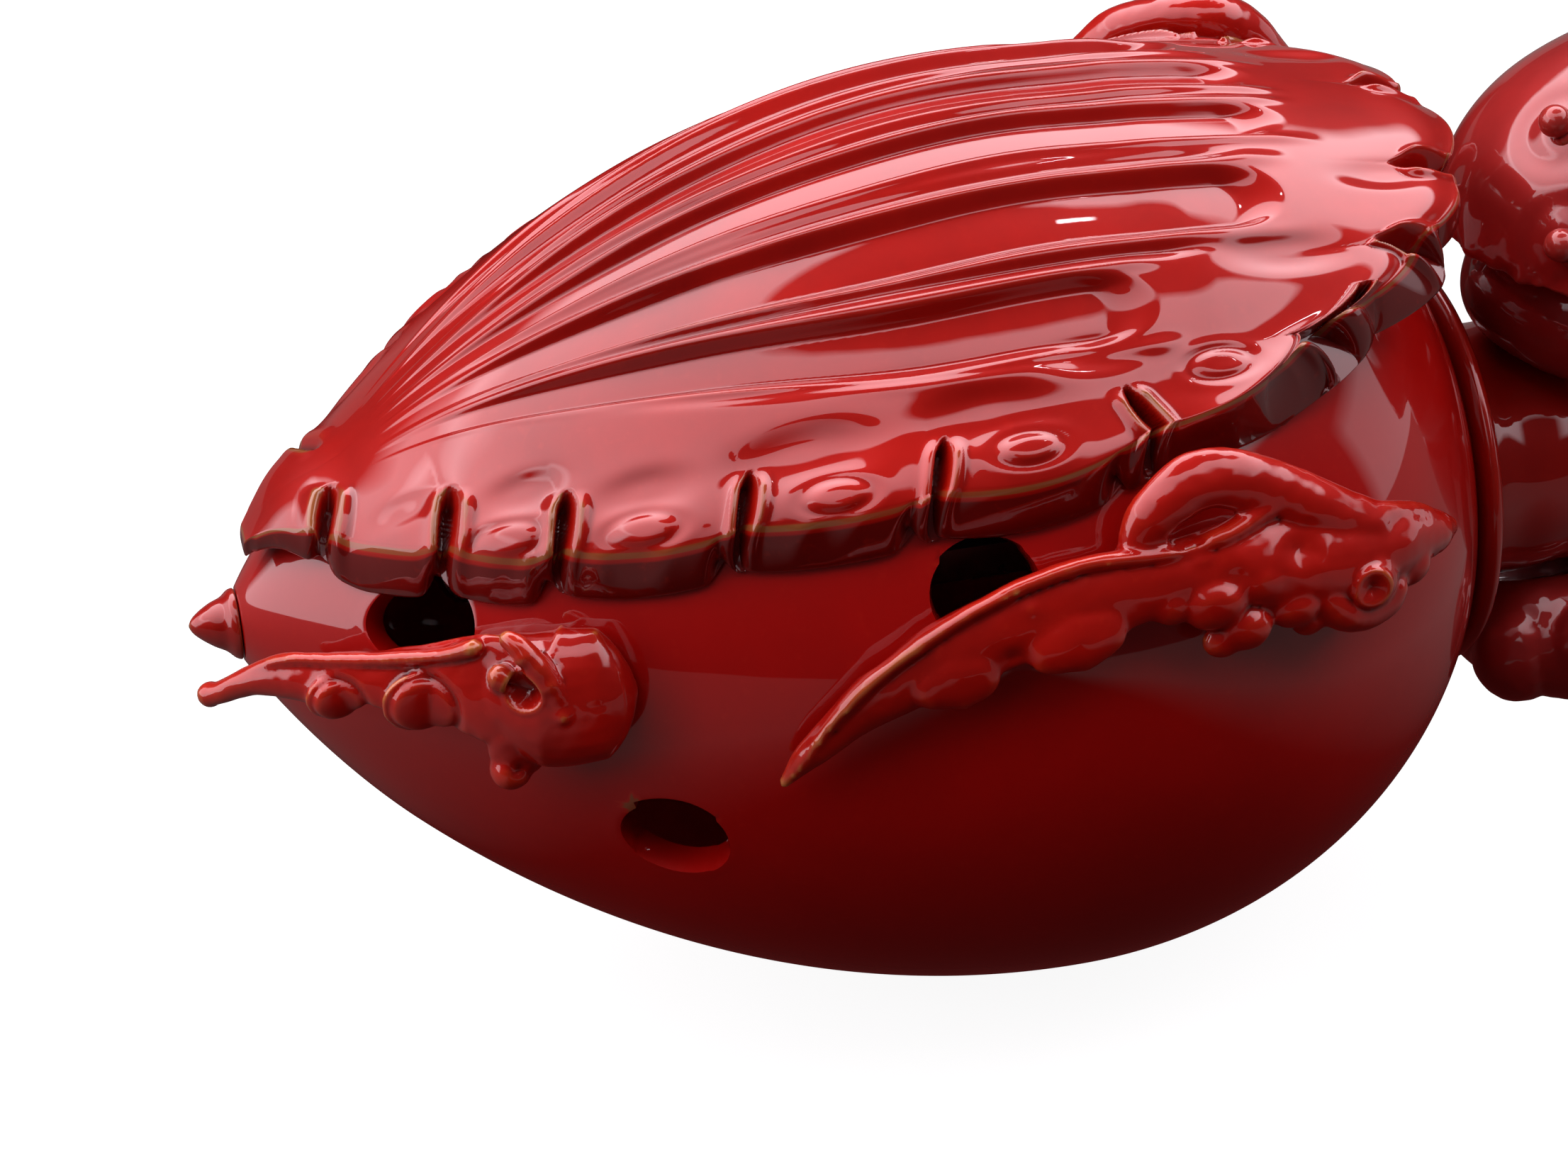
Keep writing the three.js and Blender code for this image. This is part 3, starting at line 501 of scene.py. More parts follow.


# The deep colours are pooled enamel and also painted shade, in grooves and under the carapace rim.
RED = enamel(
    "red_enamel", thin=(0.46, 0.014, 0.004, 1), body=(0.42, 0.0042, 0.0009, 1),
    deep=(0.1, 0.0008, 0.0003, 1), gold=(0.26, 0.085, 0.022, 1))
BELLY_RED = enamel(
    "belly_enamel", thin=(0.46, 0.012, 0.004, 1), body=(0.4, 0.0016, 0.0005, 1),
    deep=(0.24, 0.001, 0.0003, 1), gold=(0.2, 0.06, 0.02, 1), metal=0.1, ripple_height=0.005, coat_rough=0.03)
CLAW_RED = enamel(
    "claw_enamel", thin=(0.56, 0.02, 0.005, 1), body=(0.48, 0.005, 0.001, 1),
    deep=(0.09, 0.0006, 0.0003, 1), gold=(0.5, 0.17, 0.04, 1), metal=0.15, ripple_height=0.008)
DARK_RED = enamel(
    "dark_enamel", thin=(0.46, 0.03, 0.024, 1), body=(0.42, 0.018, 0.016, 1),
    deep=(0.07, 0.0006, 0.0004, 1), gold=(0.16, 0.05, 0.015, 1))
STEEL = machined("brushed_steel", (0.6, 0.6, 0.61, 1), 0.2, (1.0, 0.06, 1.0))
TURNED_STEEL = machined("turned_steel", (0.62, 0.61, 0.6, 1), 0.16, (1.0, 1.0, 0.1))
RUBBER = rubber_material()


# ---- belly ---------------------------------------------------------------------------
def open_hole(x, arc, centre, radius):
    """Warps a square gap in the grid round a hole into a circle; returns the warped grid and gap."""
    gap = radius * 0.86
    u = x - centre[0]
    v = arc - centre[1]
    square = np.maximum(np.abs(u), np.abs(v))
    round_r = np.hypot(u, v).clip(1e-9)
    t = smooth((square - gap) / (2.2 * gap))
    grow = radius * (square / gap) / round_r
    scale = np.where(square < gap * 0.999, 1.0, grow * (1 - t) + t)
    return centre[0] + u * scale, centre[1] + v * scale, square < gap * 0.999


def belly():
    step = 0.55
    count = int(2 * math.pi * BODY_R / step) // 4 * 4
    turn = np.arange(count) / count * 2 * math.pi          # 0 at the near side, rising over the top
    start = math.acos(-TAIL_CUT_X / TAIL_LENGTH) / (math.pi / 2)
    tail = -TAIL_LENGTH * np.cos(np.linspace(start, 1.0, 160) * math.pi / 2)
    front = FRONT_X * np.sin(np.linspace(0, 1, 80)[1:] * math.pi / 2)
    xs = np.concatenate([tail, front])
    x, a = np.meshgrid(xs, turn, indexing="ij")
    gone = np.zeros(x.shape, bool)
    lip = np.zeros(x.shape)
    for side_turn, sign in ((0.0, 1.0), (math.pi, -1.0)):
        for hole_x, hole_angle in HOLES:
            r = float(body_radius(hole_x))
            centre_turn = side_turn + sign * math.radians(hole_angle)
            away = (a - centre_turn + math.pi) % (2 * math.pi) - math.pi
            near = (np.abs(x - hole_x) < 9) & (np.abs(away * r) < 9)
            nx, nv, hole = open_hole(x, away * r, (hole_x, 0.0), HOLE_R)
            x = np.where(near, nx, x)
            a = np.where(near, centre_turn + nv / r, a)
            rim = np.hypot(nx - hole_x, nv) - HOLE_R
            lip += near * 0.05 * np.exp(-((rim - 0.3) / 0.3) ** 2)
            gone |= near & hole
    r = body_radius(x) + lip
    r = r - 0.35 * smooth((x - FRONT_X + 1.4) / 1.4) ** 2
    points = np.stack([x, -r * np.cos(a), AXIS_Z + lift(x) + r * np.sin(a)], -1).reshape(-1, 3)
    faces = grid_faces(*x.shape, close_v=True)
    keep = ~gone.reshape(-1)[faces].any(1)
    tip = len(points)
    points = np.vstack([points, [TAIL_CUT_X, 0, AXIS_Z + lift(TAIL_CUT_X)], [FRONT_X, 0, AXIS_Z]])
    ring = np.arange(count)
    last = (x.shape[0] - 1) * count
    fans = [(tip, int((i + 1) % count), int(i)) for i in ring]
    fans += [(tip + 1, last + int(i), last + int((i + 1) % count)) for i in ring]
    obj = new_mesh("belly", points, faces[keep].tolist() + fans)
    bm = bmesh.new()
    bm.from_mesh(obj.data)
    loose = [v for v in bm.verts if not v.link_faces]
    bmesh.ops.delete(bm, geom=loose, context="VERTS")
    slope = math.atan(MOUTH_SLOPE)
    bmesh.ops.bisect_plane(
        bm, geom=bm.verts[:] + bm.edges[:] + bm.faces[:], clear_outer=True,
        plane_co=(0, 0, (AXIS_Z + MOUTH_Z) * MM), plane_no=(-math.sin(slope), 0, math.cos(slope)))
    bmesh.ops.bisect_plane(
        bm, geom=bm.verts[:] + bm.edges[:] + bm.faces[:], clear_outer=True,
        plane_co=(0, 0, FLOOR_Z * MM), plane_no=(0, 0, -1))
    flat = [e for e in bm.edges if e.is_boundary and all(abs(v.co.z - FLOOR_Z * MM) < 1e-6 for v in e.verts)]
    bmesh.ops.contextual_create(bm, geom=flat)
    bmesh.ops.recalc_face_normals(bm, faces=bm.faces)
    bm.to_mesh(obj.data)
    bm.free()
    obj.data.polygons.foreach_set("use_smooth", [True] * len(obj.data.polygons))
    shell = obj.modifiers.new("wall", "SOLIDIFY")
    shell.thickness = WALL * MM
    shell.offset = -1
    shell.use_even_offset = True
    rim = obj.modifiers.new("rim", "BEVEL")
    rim.width = 0.4 * MM
    rim.segments = 3
    rim.limit_method = "ANGLE"
    rim.angle_limit = math.radians(40)
    apply_modifiers(obj)
    mark_edges(obj)
    return finish_piece(obj, LOWER, BELLY_RED, "red_enamel", "belly_shell")


# ---- carapace ------------------------------------------------------------------------
# Notches: slits across the side rim by X, and across the front rim by angle from the mid line.
SIDE_SLITS = (-48.4, -41.5, -34.9, -24.2, -12.4, 1.3)
FRONT_SLITS = (-38.0, -27.0, -13.5, 5.5, 27.0, 38.0)
# angle from the mid line, half width (degrees), depth, front end along X
FLUTES = ((5.5, 3.7, 0.75, 17.6), (19.0, 5.2, 1.0, 15.0), (32.0, 4.6, 0.85, 4.0))
CREASES = ((12.5, 1.1, 0.4, 13.6), (25.5, 1.2, 0.5, 10.6), (37.0, 1.3, 0.45, 2.6), (0.0, 0.8, 0.2, 14.0))
# X, angle from the mid line, half length, half width, depth
HOLLOWS = ((-43.7, 31.0, 1.9, 1.0, 0.3), (-36.6, 37.0, 2.3, 1.3, 0.4), (-29.7, 42.5, 2.8, 1.4, 0.4),
           (-20.0, 42.5, 4.4, 1.8, 0.5), (-8.5, 42.0, 4.6, 1.9, 0.55), (13.4, 27.0, 4.0, 1.6, 0.5),
           (22.5, 16.0, 3.2, 1.2, 0.3), (22.0, -8.0, 3.4, 1.1, 0.3), (-1.0, 37.0, 3.4, 1.2, 0.35))
DIMPLES = ((-38.2, 44.6), (-30.3, 47.8), (-18.8, 48.2), (-6.7, 46.6), (6.7, 40.4))


def cover_radius(x):
    follow = body_radius(x) + 1.45
    hood = 33.3 - 0.0055 * x * x
    front = np.maximum(follow, hood + (follow - hood) * smooth(1 - x / 8))
    return np.where(x < 0, follow, front) + 2.2 * smooth((-46 - x) / 6)


def rim_reach(x):
    """Angle of the side rim from the mid line."""
    ahead = RIM_REACH - RIM_FRONT_FALL * (np.maximum(0, x + 8) / 17.8) ** 2
    behind = RIM_TAIL_FALL * (np.maximum(0, -20 - x) / (-20 - TAIL_TIP_X)) ** 3.8
    return ahead - behind


def nearest(v, marks):
    """Signed distance to the nearest mark, and how far along it is between two marks."""
    marks = np.array(marks)
    k = np.abs(v[..., None] - marks).argmin(-1)
    full = np.concatenate([[marks[0] - 12], marks, [marks[-1] + 14]])
    i = np.clip(np.searchsorted(full, v) - 1, 0, len(full) - 2)
    f = np.clip((v - full[i]) / (full[i + 1] - full[i]), 0, 1)
    return v - marks[k], np.sin(math.pi * f) ** 0.6


def slit(off, inward, length, wide, deep, lip):
    """A lens-shaped cut with raised lips: off is the sideways distance, inward that from the rim."""
    lens = wide * np.sqrt(np.maximum(0.02, 1 - ((inward - 0.3 * length) / (0.7 * length)) ** 2))
    reach = smooth((length - inward) / 1.4)
    cut = -deep * np.exp(-(off / lens) ** 4) * reach
    sides = np.exp(-((off - lens - 0.5) / 0.42) ** 2) + 0.8 * np.exp(-((off + lens + 0.5) / 0.42) ** 2)
    return cut + lip * reach * sides


def cover_sheet(along, across, inner):
    """One face of the carapace: the outer, sculpted one or the plain inner one."""
    side = np.where(across < 0, -1.0, 1.0)
    bow = np.abs(across)
    x_rim = TAIL_TIP_X + (CORNER_X - TAIL_TIP_X) * along
    reach = rim_reach(x_rim)
    grow = 1.0
    if inner:                                      # the rim hangs below the outer sheet's edge
        rim_slit, _ = nearest(x_rim + 0.4, SIDE_SLITS)
        hang = 2.9 - 1.5 * np.exp(-(rim_slit / 0.6) ** 2)
        grow = 1 + hang / cover_radius(x_rim) * 57.3 / reach * smooth(along / 0.12)
    from_top = bow * reach * grow
    edge_x = HOOD_X - SWEEP * (bow * rim_reach(np.array(CORNER_X)) / SWEEP_ANGLE) ** SWEEP_POWER
    off_front, front_lobe = nearest(side * from_top, FRONT_SLITS)
    x = TAIL_TIP_X + (edge_x - FRONT_LOBE - TAIL_TIP_X) * along
    push = smooth((along - 0.86) / 0.14)
    x = x + push * FRONT_LOBE * front_lobe
    if inner:
        x = x + push * (2.0 * smooth((from_top - 18) / 14) - 0.5)
    radius = cover_radius(x)
    arc = radius * math.pi / 180
    side_in = (1 - bow) * reach * arc
    front_in = (1 - along) * (edge_x - TAIL_TIP_X)
    _, side_lobe = nearest(x, SIDE_SLITS)
    near_side = np.exp(-(side_in / 3.4) ** 2) * smooth((x + 54) / 14)
    near_front = np.exp(-(front_in / 4.5) ** 2)
    flare = np.where(side > 0, 0.3, 1.0)
    from_top = from_top + near_side * (side_lobe - 0.45) * 0.7 / arc * smooth((16 - x) / 8)
    if inner:
        plain = radius - 1.4
        seat = np.where(x < 14, body_radius(x) + 0.4, plain)
        return on_body(x, 90 - from_top, plain + (np.maximum(seat, plain - 0.4) - plain) * near_side, side)
    r = radius + flare * near_side * (0.7 + 0.6 * side_lobe) * smooth((22 - x) / 12)
    r = r + near_front * (0.2 + 0.7 * front_lobe)
    r = r - 1.6 * np.exp(-(front_in / 1.6) ** 2) * (0.35 + 0.2 * (1 - front_lobe))
    t = side * from_top
    wave = 0.18 * np.sin(x * 0.3 + side * 0.8) + 0.25 * np.sin(x * 0.13 + t * 0.1)
    gather = 1 - np.maximum(0, -x / 54) ** 2.55
    fade = smooth((x + 45) / 20)
    for angle, half, depth, end in FLUTES:
        off = np.minimum(np.abs(t + wave - angle * gather), np.abs(t + wave + angle * gather))
        off = off / (half * gather)
        reach_end = end - 4.0 * (1 - np.sqrt(np.maximum(0, 1 - np.minimum(off, 1) ** 2)))
        bowl = smooth((1 - off) / 0.42)
        r = r - depth * fade * smooth((reach_end - x) / 3.6) * bowl
        r = r + 0.24 * fade * smooth((end + 2 - x) / 4) * np.exp(-((off - 1.12) / 0.22) ** 2)
    for angle, half, depth, end in CREASES:
        off = np.minimum(np.abs(t - angle * gather), np.abs(t + angle * gather)) / (half * gather)
        r = r - depth * smooth((x + 42) / 22) * smooth((end - x) / 6) * np.exp(-off ** 2 * 1.4)
    away = np.abs(t)
    for hx, ht, length, width, depth in HOLLOWS:
        d = ((x - hx) / length) ** 2 + ((away - ht) * arc / width) ** 2
        r = r - depth * np.exp(-d ** 1.6)
    for hx, ht in DIMPLES:
        d = np.sqrt(((x - hx) / 2.5) ** 2 + ((away - ht) * arc / 1.25) ** 2)
        r = r + 0.3 * np.exp(-(d / 1.2) ** 4) - 0.26 * np.exp(-((d - 0.85) / 0.28) ** 2)
    off_side, _ = nearest(x - np.where(x < -4, 0.34, -0.3) * (side_in - 1), SIDE_SLITS)
    r = r + flare * slit(off_side, side_in, 3.6 + 1.2 * (x > -4), 0.38, 2.0, 0.45) * smooth((9 - x) / 4)
    lean = (off_front + 2.2 * front_in * side * smooth((away - 24) / 8)) * arc
    r = r + slit(lean, front_in, 3.8, 0.6, 2.0, 0.6) * smooth((x - 7) / 3)
    return on_body(x, 90 - from_top, r, side)


def carapace():
    along = np.linspace(0, 1, 400) ** 0.92
    across = np.linspace(-1, 1, 460)
    a, b = np.meshgrid(along, across, indexing="ij")
    outer = cover_sheet(a, b, False)
    inner = cover_sheet(a, b, True)
    rows, columns = a.shape

    def border(sheet, k):
        """The sheet's outline, k points in from its edge."""
        top = [(i, k) for i in range(0, rows - 1)]
        right = [(rows - 1, j) for j in range(0, columns - 1)]
        bottom = [(i, columns - 1) for i in range(rows - 1, 0, -1)]
        left = [(0, j) for j in range(columns - 1, 0, -1)]
        loop = top + right + bottom + left
        i = np.clip([p[0] for p in loop], k, rows - 1 - k)
        j = np.clip([p[1] for p in loop], k, columns - 1 - k)
        return sheet[i, j], i * columns + j

    out_edge, out_index = border(outer, 0)
    in_edge, in_index = border(inner, 0)
    out_way = out_edge - border(outer, 3)[0]
    in_way = in_edge - border(inner, 3)[0]
    thick = np.linalg.norm(out_edge - in_edge, axis=1)[:, None]
    out_way = out_way / np.linalg.norm(out_way, axis=1)[:, None].clip(1e-6) * thick * 0.3
    in_way = in_way / np.linalg.norm(in_way, axis=1)[:, None].clip(1e-6) * thick * 0.35
    bands = 12
    n = len(out_edge)
    points = [outer.reshape(-1, 3), inner.reshape(-1, 3)]
    base = 2 * rows * columns
    rings = [out_index]
    for k in range(1, bands):
        t = k / bands
        points.append((1 - t) ** 3 * out_edge + 3 * (1 - t) ** 2 * t * (out_edge + out_way)
                      + 3 * (1 - t) * t ** 2 * (in_edge + in_way) + t ** 3 * in_edge)
        rings.append(base + np.arange(n))
        base += n
    rings.append(in_index + rows * columns)
    faces = grid_faces(rows, columns)
    all_faces = [faces, (faces + rows * columns)[:, ::-1]]
    for r0, r1 in zip(rings, rings[1:]):
        all_faces.append(np.stack([r0, r1, np.roll(r1, -1), np.roll(r0, -1)], -1))
    obj = new_mesh("carapace", np.vstack(points), np.vstack(all_faces).tolist())
    face_outwards(obj)
    mark_edges(obj, 3)
    edge = np.empty(len(obj.data.vertices), np.float32)
    obj.data.attributes["edge"].data.foreach_get("value", edge)
    sheet = rows * columns
    edge[sheet:] = np.minimum(edge[sheet:], 0.1)          # painted shade: under the rim and on the inside, set to the dark pooled colour
    edge[2 * sheet:2 * sheet + 2 * n] = 0.9               # gold along the rim's upper edge
    obj.data.attributes["edge"].data.foreach_set("value", edge)
    return finish_piece(obj, UPPER, RED, "red_enamel", "carapace_shell")


# ---- claws ---------------------------------------------------------------------------
def at_body(side):
    return lambda x, angle, r: on_body(x, angle, r, side).ravel()


def rear_place(side):
    """Places rear claw points; the far claw sits lower round the body and is drawn in."""
    turn = math.radians(50) if side > 0 else 0.0
    reach = 0.7 if side > 0 else 1.0

    def at(x, y, z):
        near = -36.5 + (x + 36.5) * reach if x < -36.5 else x
        r = math.hypot(y, z) + float(body_radius(near) - body_radius(x))
        angle = math.atan2(z, y) - turn
        return np.array([near, side * r * math.cos(angle), AXIS_Z + r * math.sin(angle)])

    return at


# The arm that arches over each front palm: X, angle, radius, half width, half thickness.
ARCH = {
    -1: ((-1.4, 29, 33.9, 1.1, 1.0), (-0.3, 34, 35.2, 1.7, 1.2), (3.0, 37.2, 35.6, 1.9, 1.3),
         (7.0, 36, 35.2, 1.9, 1.3), (11.5, 32, 33.8, 2.0, 1.6), (16, 28, 32.0, 1.8, 1.8)),
    1: ((11, 31, 33, 1.4, 1.3), (16.5, 41, 34.8, 2.4, 2.1), (22.5, 46, 33.8, 2.7, 2.4),
        (27, 41, 30, 2.4, 2.2), (28.4, 33, 24.5, 2.0, 2.0)),
}


def front_claw(side):
    at = at_body(side)
    palm = tube([
        (at(22.8, 26, 26.4), 0.5, 0.6), (at(20.6, 26.6, 28.6), 1.5, 1.5), (at(17, 27, 31.2), 2.4, 2.0),
        (at(12.5, 26.8, 33), 3.1, 2.2), (at(7, 28, 34.1), 3.2, 2.0), (at(2, 28, 34.3), 2.3, 1.6),
        (at(-3, 27, 34.3), 2.6, 1.3), (at(-8.4, 25.4, 33.8), 2.7, 1.2), (at(-13.5, 22.4, 32.8), 2.4, 1.2),
        (at(-18.5, 17.4, 31.4), 1.7, 1.1), (at(-22, 11.5, 30.1), 1.0, 0.9), (at(-24, 6.5, 29.4), 0.3, 0.4),
    ])
    ridge = tube([
        (at(-23.6, 8.0, 30.0), 0.25, 0.35), (at(-20.5, 17.2, 31.7), 0.45, 0.7),
        (at(-17.3, 22.4, 32.8), 0.5, 0.8), (at(-11.2, 28.0, 34.3), 0.5, 0.8),
        (at(-5.1, 30.6, 35.1), 0.5, 0.8), (at(0.1, 30.4, 35.2), 0.55, 0.9),
        (at(4.3, 31.4, 35.2), 0.7, 1.0), (at(8.5, 33.6, 34.9), 0.8, 1.0), (at(13.7, 31.0, 33.6), 0.9, 1.0),
        (at(18.8, 29.5, 30.6), 0.9, 0.9), (at(21.8, 26.6, 28.0), 0.5, 0.6),
    ])
    arch = tube([(at(x, angle, r), w, t) for x, angle, r, w, t in ARCH[side]])
    shapes = [palm, ridge, arch]
    shapes.append(tube([(at(-16, 18.4, 32.6), 1.0, 0.9), (at(-13.3, 20.0, 33.2), 2.2, 1.1),
                        (at(-10.4, 20.9, 33.7), 1.6, 0.9)]))
    shapes.append(tube([(at(-9.0, 21.6, 34.0), 1.4, 0.9), (at(-5.6, 23.0, 34.5), 2.3, 1.2),
                        (at(-2.4, 24.4, 34.7), 1.4, 1.0)]))
    for x, angle, r, size in ((-8.4, 26.6, 34.8, 0.75), (-0.6, 27.6, 34.8, 1.5), (0.6, 24.8, 34.9, 1.3),
                              (2.8, 28.8, 35.2, 1.3), (3.4, 24.6, 35.1, 1.8), (5.4, 21.2, 34.7, 1.5),
                              (4.0, 19.9, 34.4, 1.1), (6.6, 26.0, 35.1, 1.6), (8.8, 22.6, 34.4, 1.5),
                              (10.0, 20.6, 33.8, 1.1), (17.5, 24.0, 31.4, 1.6)):
        shapes.append(ball(at(x, angle, r - 0.35), (size * 1.2, size * 0.85, size * 1.05)))
    shapes.append(tube([(at(10.4, 24.5, 34), 1.0, 1.1), (at(12.2, 20.8, 33.6), 1.3, 1.3),
                        (at(15.2, 20.6, 32.3), 1.4, 1.3), (at(16.6, 24, 31.9), 1.2, 1.3)]))
    shapes.append(ball(at(13.8, 23.6, 33.4), (2.3, 1.6, 2.1)))
    peg = at(14.5, 26, 29.5)
    shapes.append(tube([(peg, 2.4, 2.4), (at(14.5, 26, 32.5), 2.2, 2.2)]))
    obj = merge(f"front_claw_{side}", shapes, 0.2, 9)
    curl = at(13.9, 23.4, 35.0)
    seed = 3.0 + side

    def relief(co):
        high = 0.16 * lumps(co, 0.32, seed, 1) + 0.03 * lumps(co, 1.1, seed + 5, 1)
        high = high + ring_mark(co, curl, 1.15, 0.32, 0.3) + dent(co, curl, 0.6, 0.45)
        high = high + dent(co, at(1.9, 31.4, 36.0), 0.9, 0.7) + dent(co, at(-9.8, 21.4, 35), 0.8, 0.6)
        high = high + dent(co, at(4.6, 27.0, 36.8), 0.8, 0.55) + dent(co, at(9.2, 29.0, 36.2), 1.2, 0.6)
        return high

    shape_skin(obj, relief)
    rest_on_body(obj)
    mark_edges(obj, 5)
    return finish_piece(obj, LOWER, CLAW_RED, "red_enamel", f"front_{'left' if side > 0 else 'right'}_claw")


def rear_claw(side):
    at = rear_place(side)
    shoulder = tube([
        (at(-31.6, 22.4, 7.6), 1.8, 1.2), (at(-33.8, 22.3, 7.6), 4.4, 2.4), (at(-36.8, 21.2, 7.2), 4.7, 3.0),
        (at(-40.2, 18.9, 7.8), 3.0, 2.4), (at(-43.2, 16.4, 8.2), 1.0, 1.2),
    ])
    hand = tube([
        (at(-37.8, 21.6, 7.4), 3.6, 1.2), (at(-41, 20.0, 7.8), 3.6, 1.2), (at(-44.7, 17.6, 7.0), 2.6, 1.1),
        (at(-47.6, 15.9, 6.6), 1.9, 1.1), (at(-49.7, 14.6, 6.0), 2.0, 1.1), (at(-52, 13.1, 5.6), 1.5, 1.0),
        (at(-54.6, 11.3, 4.6), 0.95, 0.8), (at(-56.8, 9.9, 3.0), 0.75, 0.75), (at(-57.6, 9.3, 2.5), 0.7, 0.7),
    ])
    rim = tube([
        (at(-56.6, 9.9, 3.5), 0.35, 0.5), (at(-54.6, 11.1, 5.3), 0.4, 0.55),
        (at(-52.4, 12.7, 6.9), 0.45, 0.6),
        (at(-48.5, 15.3, 8.0), 0.45, 0.6), (at(-44, 18.0, 9.4), 0.5, 0.7), (at(-41, 19.9, 11.0), 0.6, 0.8),
    ])
    finger = tube([
        (at(-39.6, 21.3, 6.6), 1.9, 1.3), (at(-39.3, 21.4, 3.8), 2.0, 1.5), (at(-39.6, 21.2, 1.6), 1.7, 1.4),
    ])
    cuff = tube([
        (at(-39.9, 20.6, 12.2), 0.5, 0.6), (at(-39.0, 21.6, 11.8), 0.8, 0.9),
        (at(-38.0, 22.4, 10.6), 0.9, 1.0),
        (at(-37.0, 23.0, 8.8), 1.0, 1.0), (at(-36.3, 23.4, 6.6), 0.9, 1.0), (at(-36.2, 23.2, 4.8), 0.6, 0.8),
    ])
    shapes = [shoulder, hand, rim, finger, cuff]
    shapes.append(ball(at(-49.9, 15.2, 5.2), (2.0, 1.0, 1.8)))
    shapes.append(ball(at(-44.9, 18.4, 6.2), (2.6, 1.0, 2.4)))
    shapes.append(ball(at(-57.4, 9.3, 2.5), (0.85, 0.85, 0.85)))
    for x, y, z, size in ((-38.7, 22.2, 11.4, 0.8), (-37.4, 23.2, 9.6, 0.7), (-36.7, 23.8, 7.6, 0.75),
                          (-36.4, 23.8, 5.8, 0.65), (-40.2, 21.6, 9.6, 0.9), (-39.9, 21.8, 2.4, 1.4)):
        shapes.append(ball(at(x, y, z), (size, size, size)))
    shapes.append(tube([(at(-36.5, 18.0, 7.3), 2.4, 2.4), (at(-36.5, 20.2, 8), 2.2, 2.2)]))
    obj = merge(f"rear_claw_{side}", shapes, 0.18, 6)
    eye = at(-38.9, 22.6, 9.0)

    def relief(co):
        high = 0.12 * lumps(co, 0.3, 8.0 + side, 1) + 0.03 * lumps(co, 1.1, 2.0 + side, 1)
        high = high + dent(co, eye, 0.95, 1.0) + ring_mark(co, eye, 1.3, 0.3, 0.22)
        high = high + ring_mark(co, at(-44.9, 19.4, 6.2), 2.3, 0.35, -0.25)
        high = high + dent(co, at(-47.4, 16.9, 4.4), 0.8, 0.5)
        high = high + ring_mark(co, at(-49.9, 16.2, 5.2), 1.8, 0.3, -0.22)
        high = high + dent(co, at(-39.6, 22.9, 2.9), 0.5, 0.3)
        return high

    shape_skin(obj, relief)
    rest_on_body(obj)
    mark_edges(obj, 5)
    return finish_piece(obj, LOWER, CLAW_RED, "red_enamel", f"rear_{'left' if side > 0 else 'right'}_claw")


# ---- neck, tail cap and head ---------------------------------------------------------
def turned_pieces():
    back, front = collar_low[0], collar_high[0]
    collar = lathe("neck_collar", rounded_profile([
        (back, 2.2), (back, COLLAR_R - 1.2), (back + 0.35, COLLAR_R - 0.3), (back + 0.9, COLLAR_R),
        (front - 0.35, COLLAR_R - 0.7), (front, COLLAR_R - 1.8), (front, 2.2)]), wave=0.05)
    mark_edges(collar)
    finish_piece(collar, LOWER, RED, "red_enamel", "neck_collar")
    start, end = neck_low[0], neck_high[0]
    neck = lathe("neck", rounded_profile([
        (start, 2.2), (start, NECK_R - 0.1), (start + 0.8, NECK_R), (start + 3.0, NECK_R - 0.7),
        (start + 6.0, NECK_R - 0.5), (start + 8.5, NECK_R - 0.9), (end - 2.5, NECK_R - 0.5),
        (end, NECK_R - 0.3), (end, 2.2)]), wave=0.06)
    mark_edges(neck)
    finish_piece(neck, LOWER, RED, "red_enamel", "neck")
    base = TAIL_CUT_X - 0.35
    cap = lathe("tail_cap", rounded_profile([
        (base + 0.28, 1.2), (base + 0.28, 2.5), (base - 0.2, 2.35), (base - 0.7, 1.85), (base - 1.5, 1.5),
        (base - 2.2, 1.05), (CAP_TIP_X + 0.3, 0.6), (CAP_TIP_X + 0.05, 0.25), (CAP_TIP_X, 0.05)]), 96, 0.02)
    mark_edges(cap)
    finish_piece(cap, LOWER, RED, "red_enamel", "tail_cap")


HOOD_AT = np.array((51.0, 0.0, AXIS_Z + 18.5))
HOOD_SIZE = np.array((19.2, 15.0, 14.0))
KNOBS = [np.array((37.6, -3.2, AXIS_Z + 28.0)), np.array((36.3, -8.6, AXIS_Z + 22.2))]


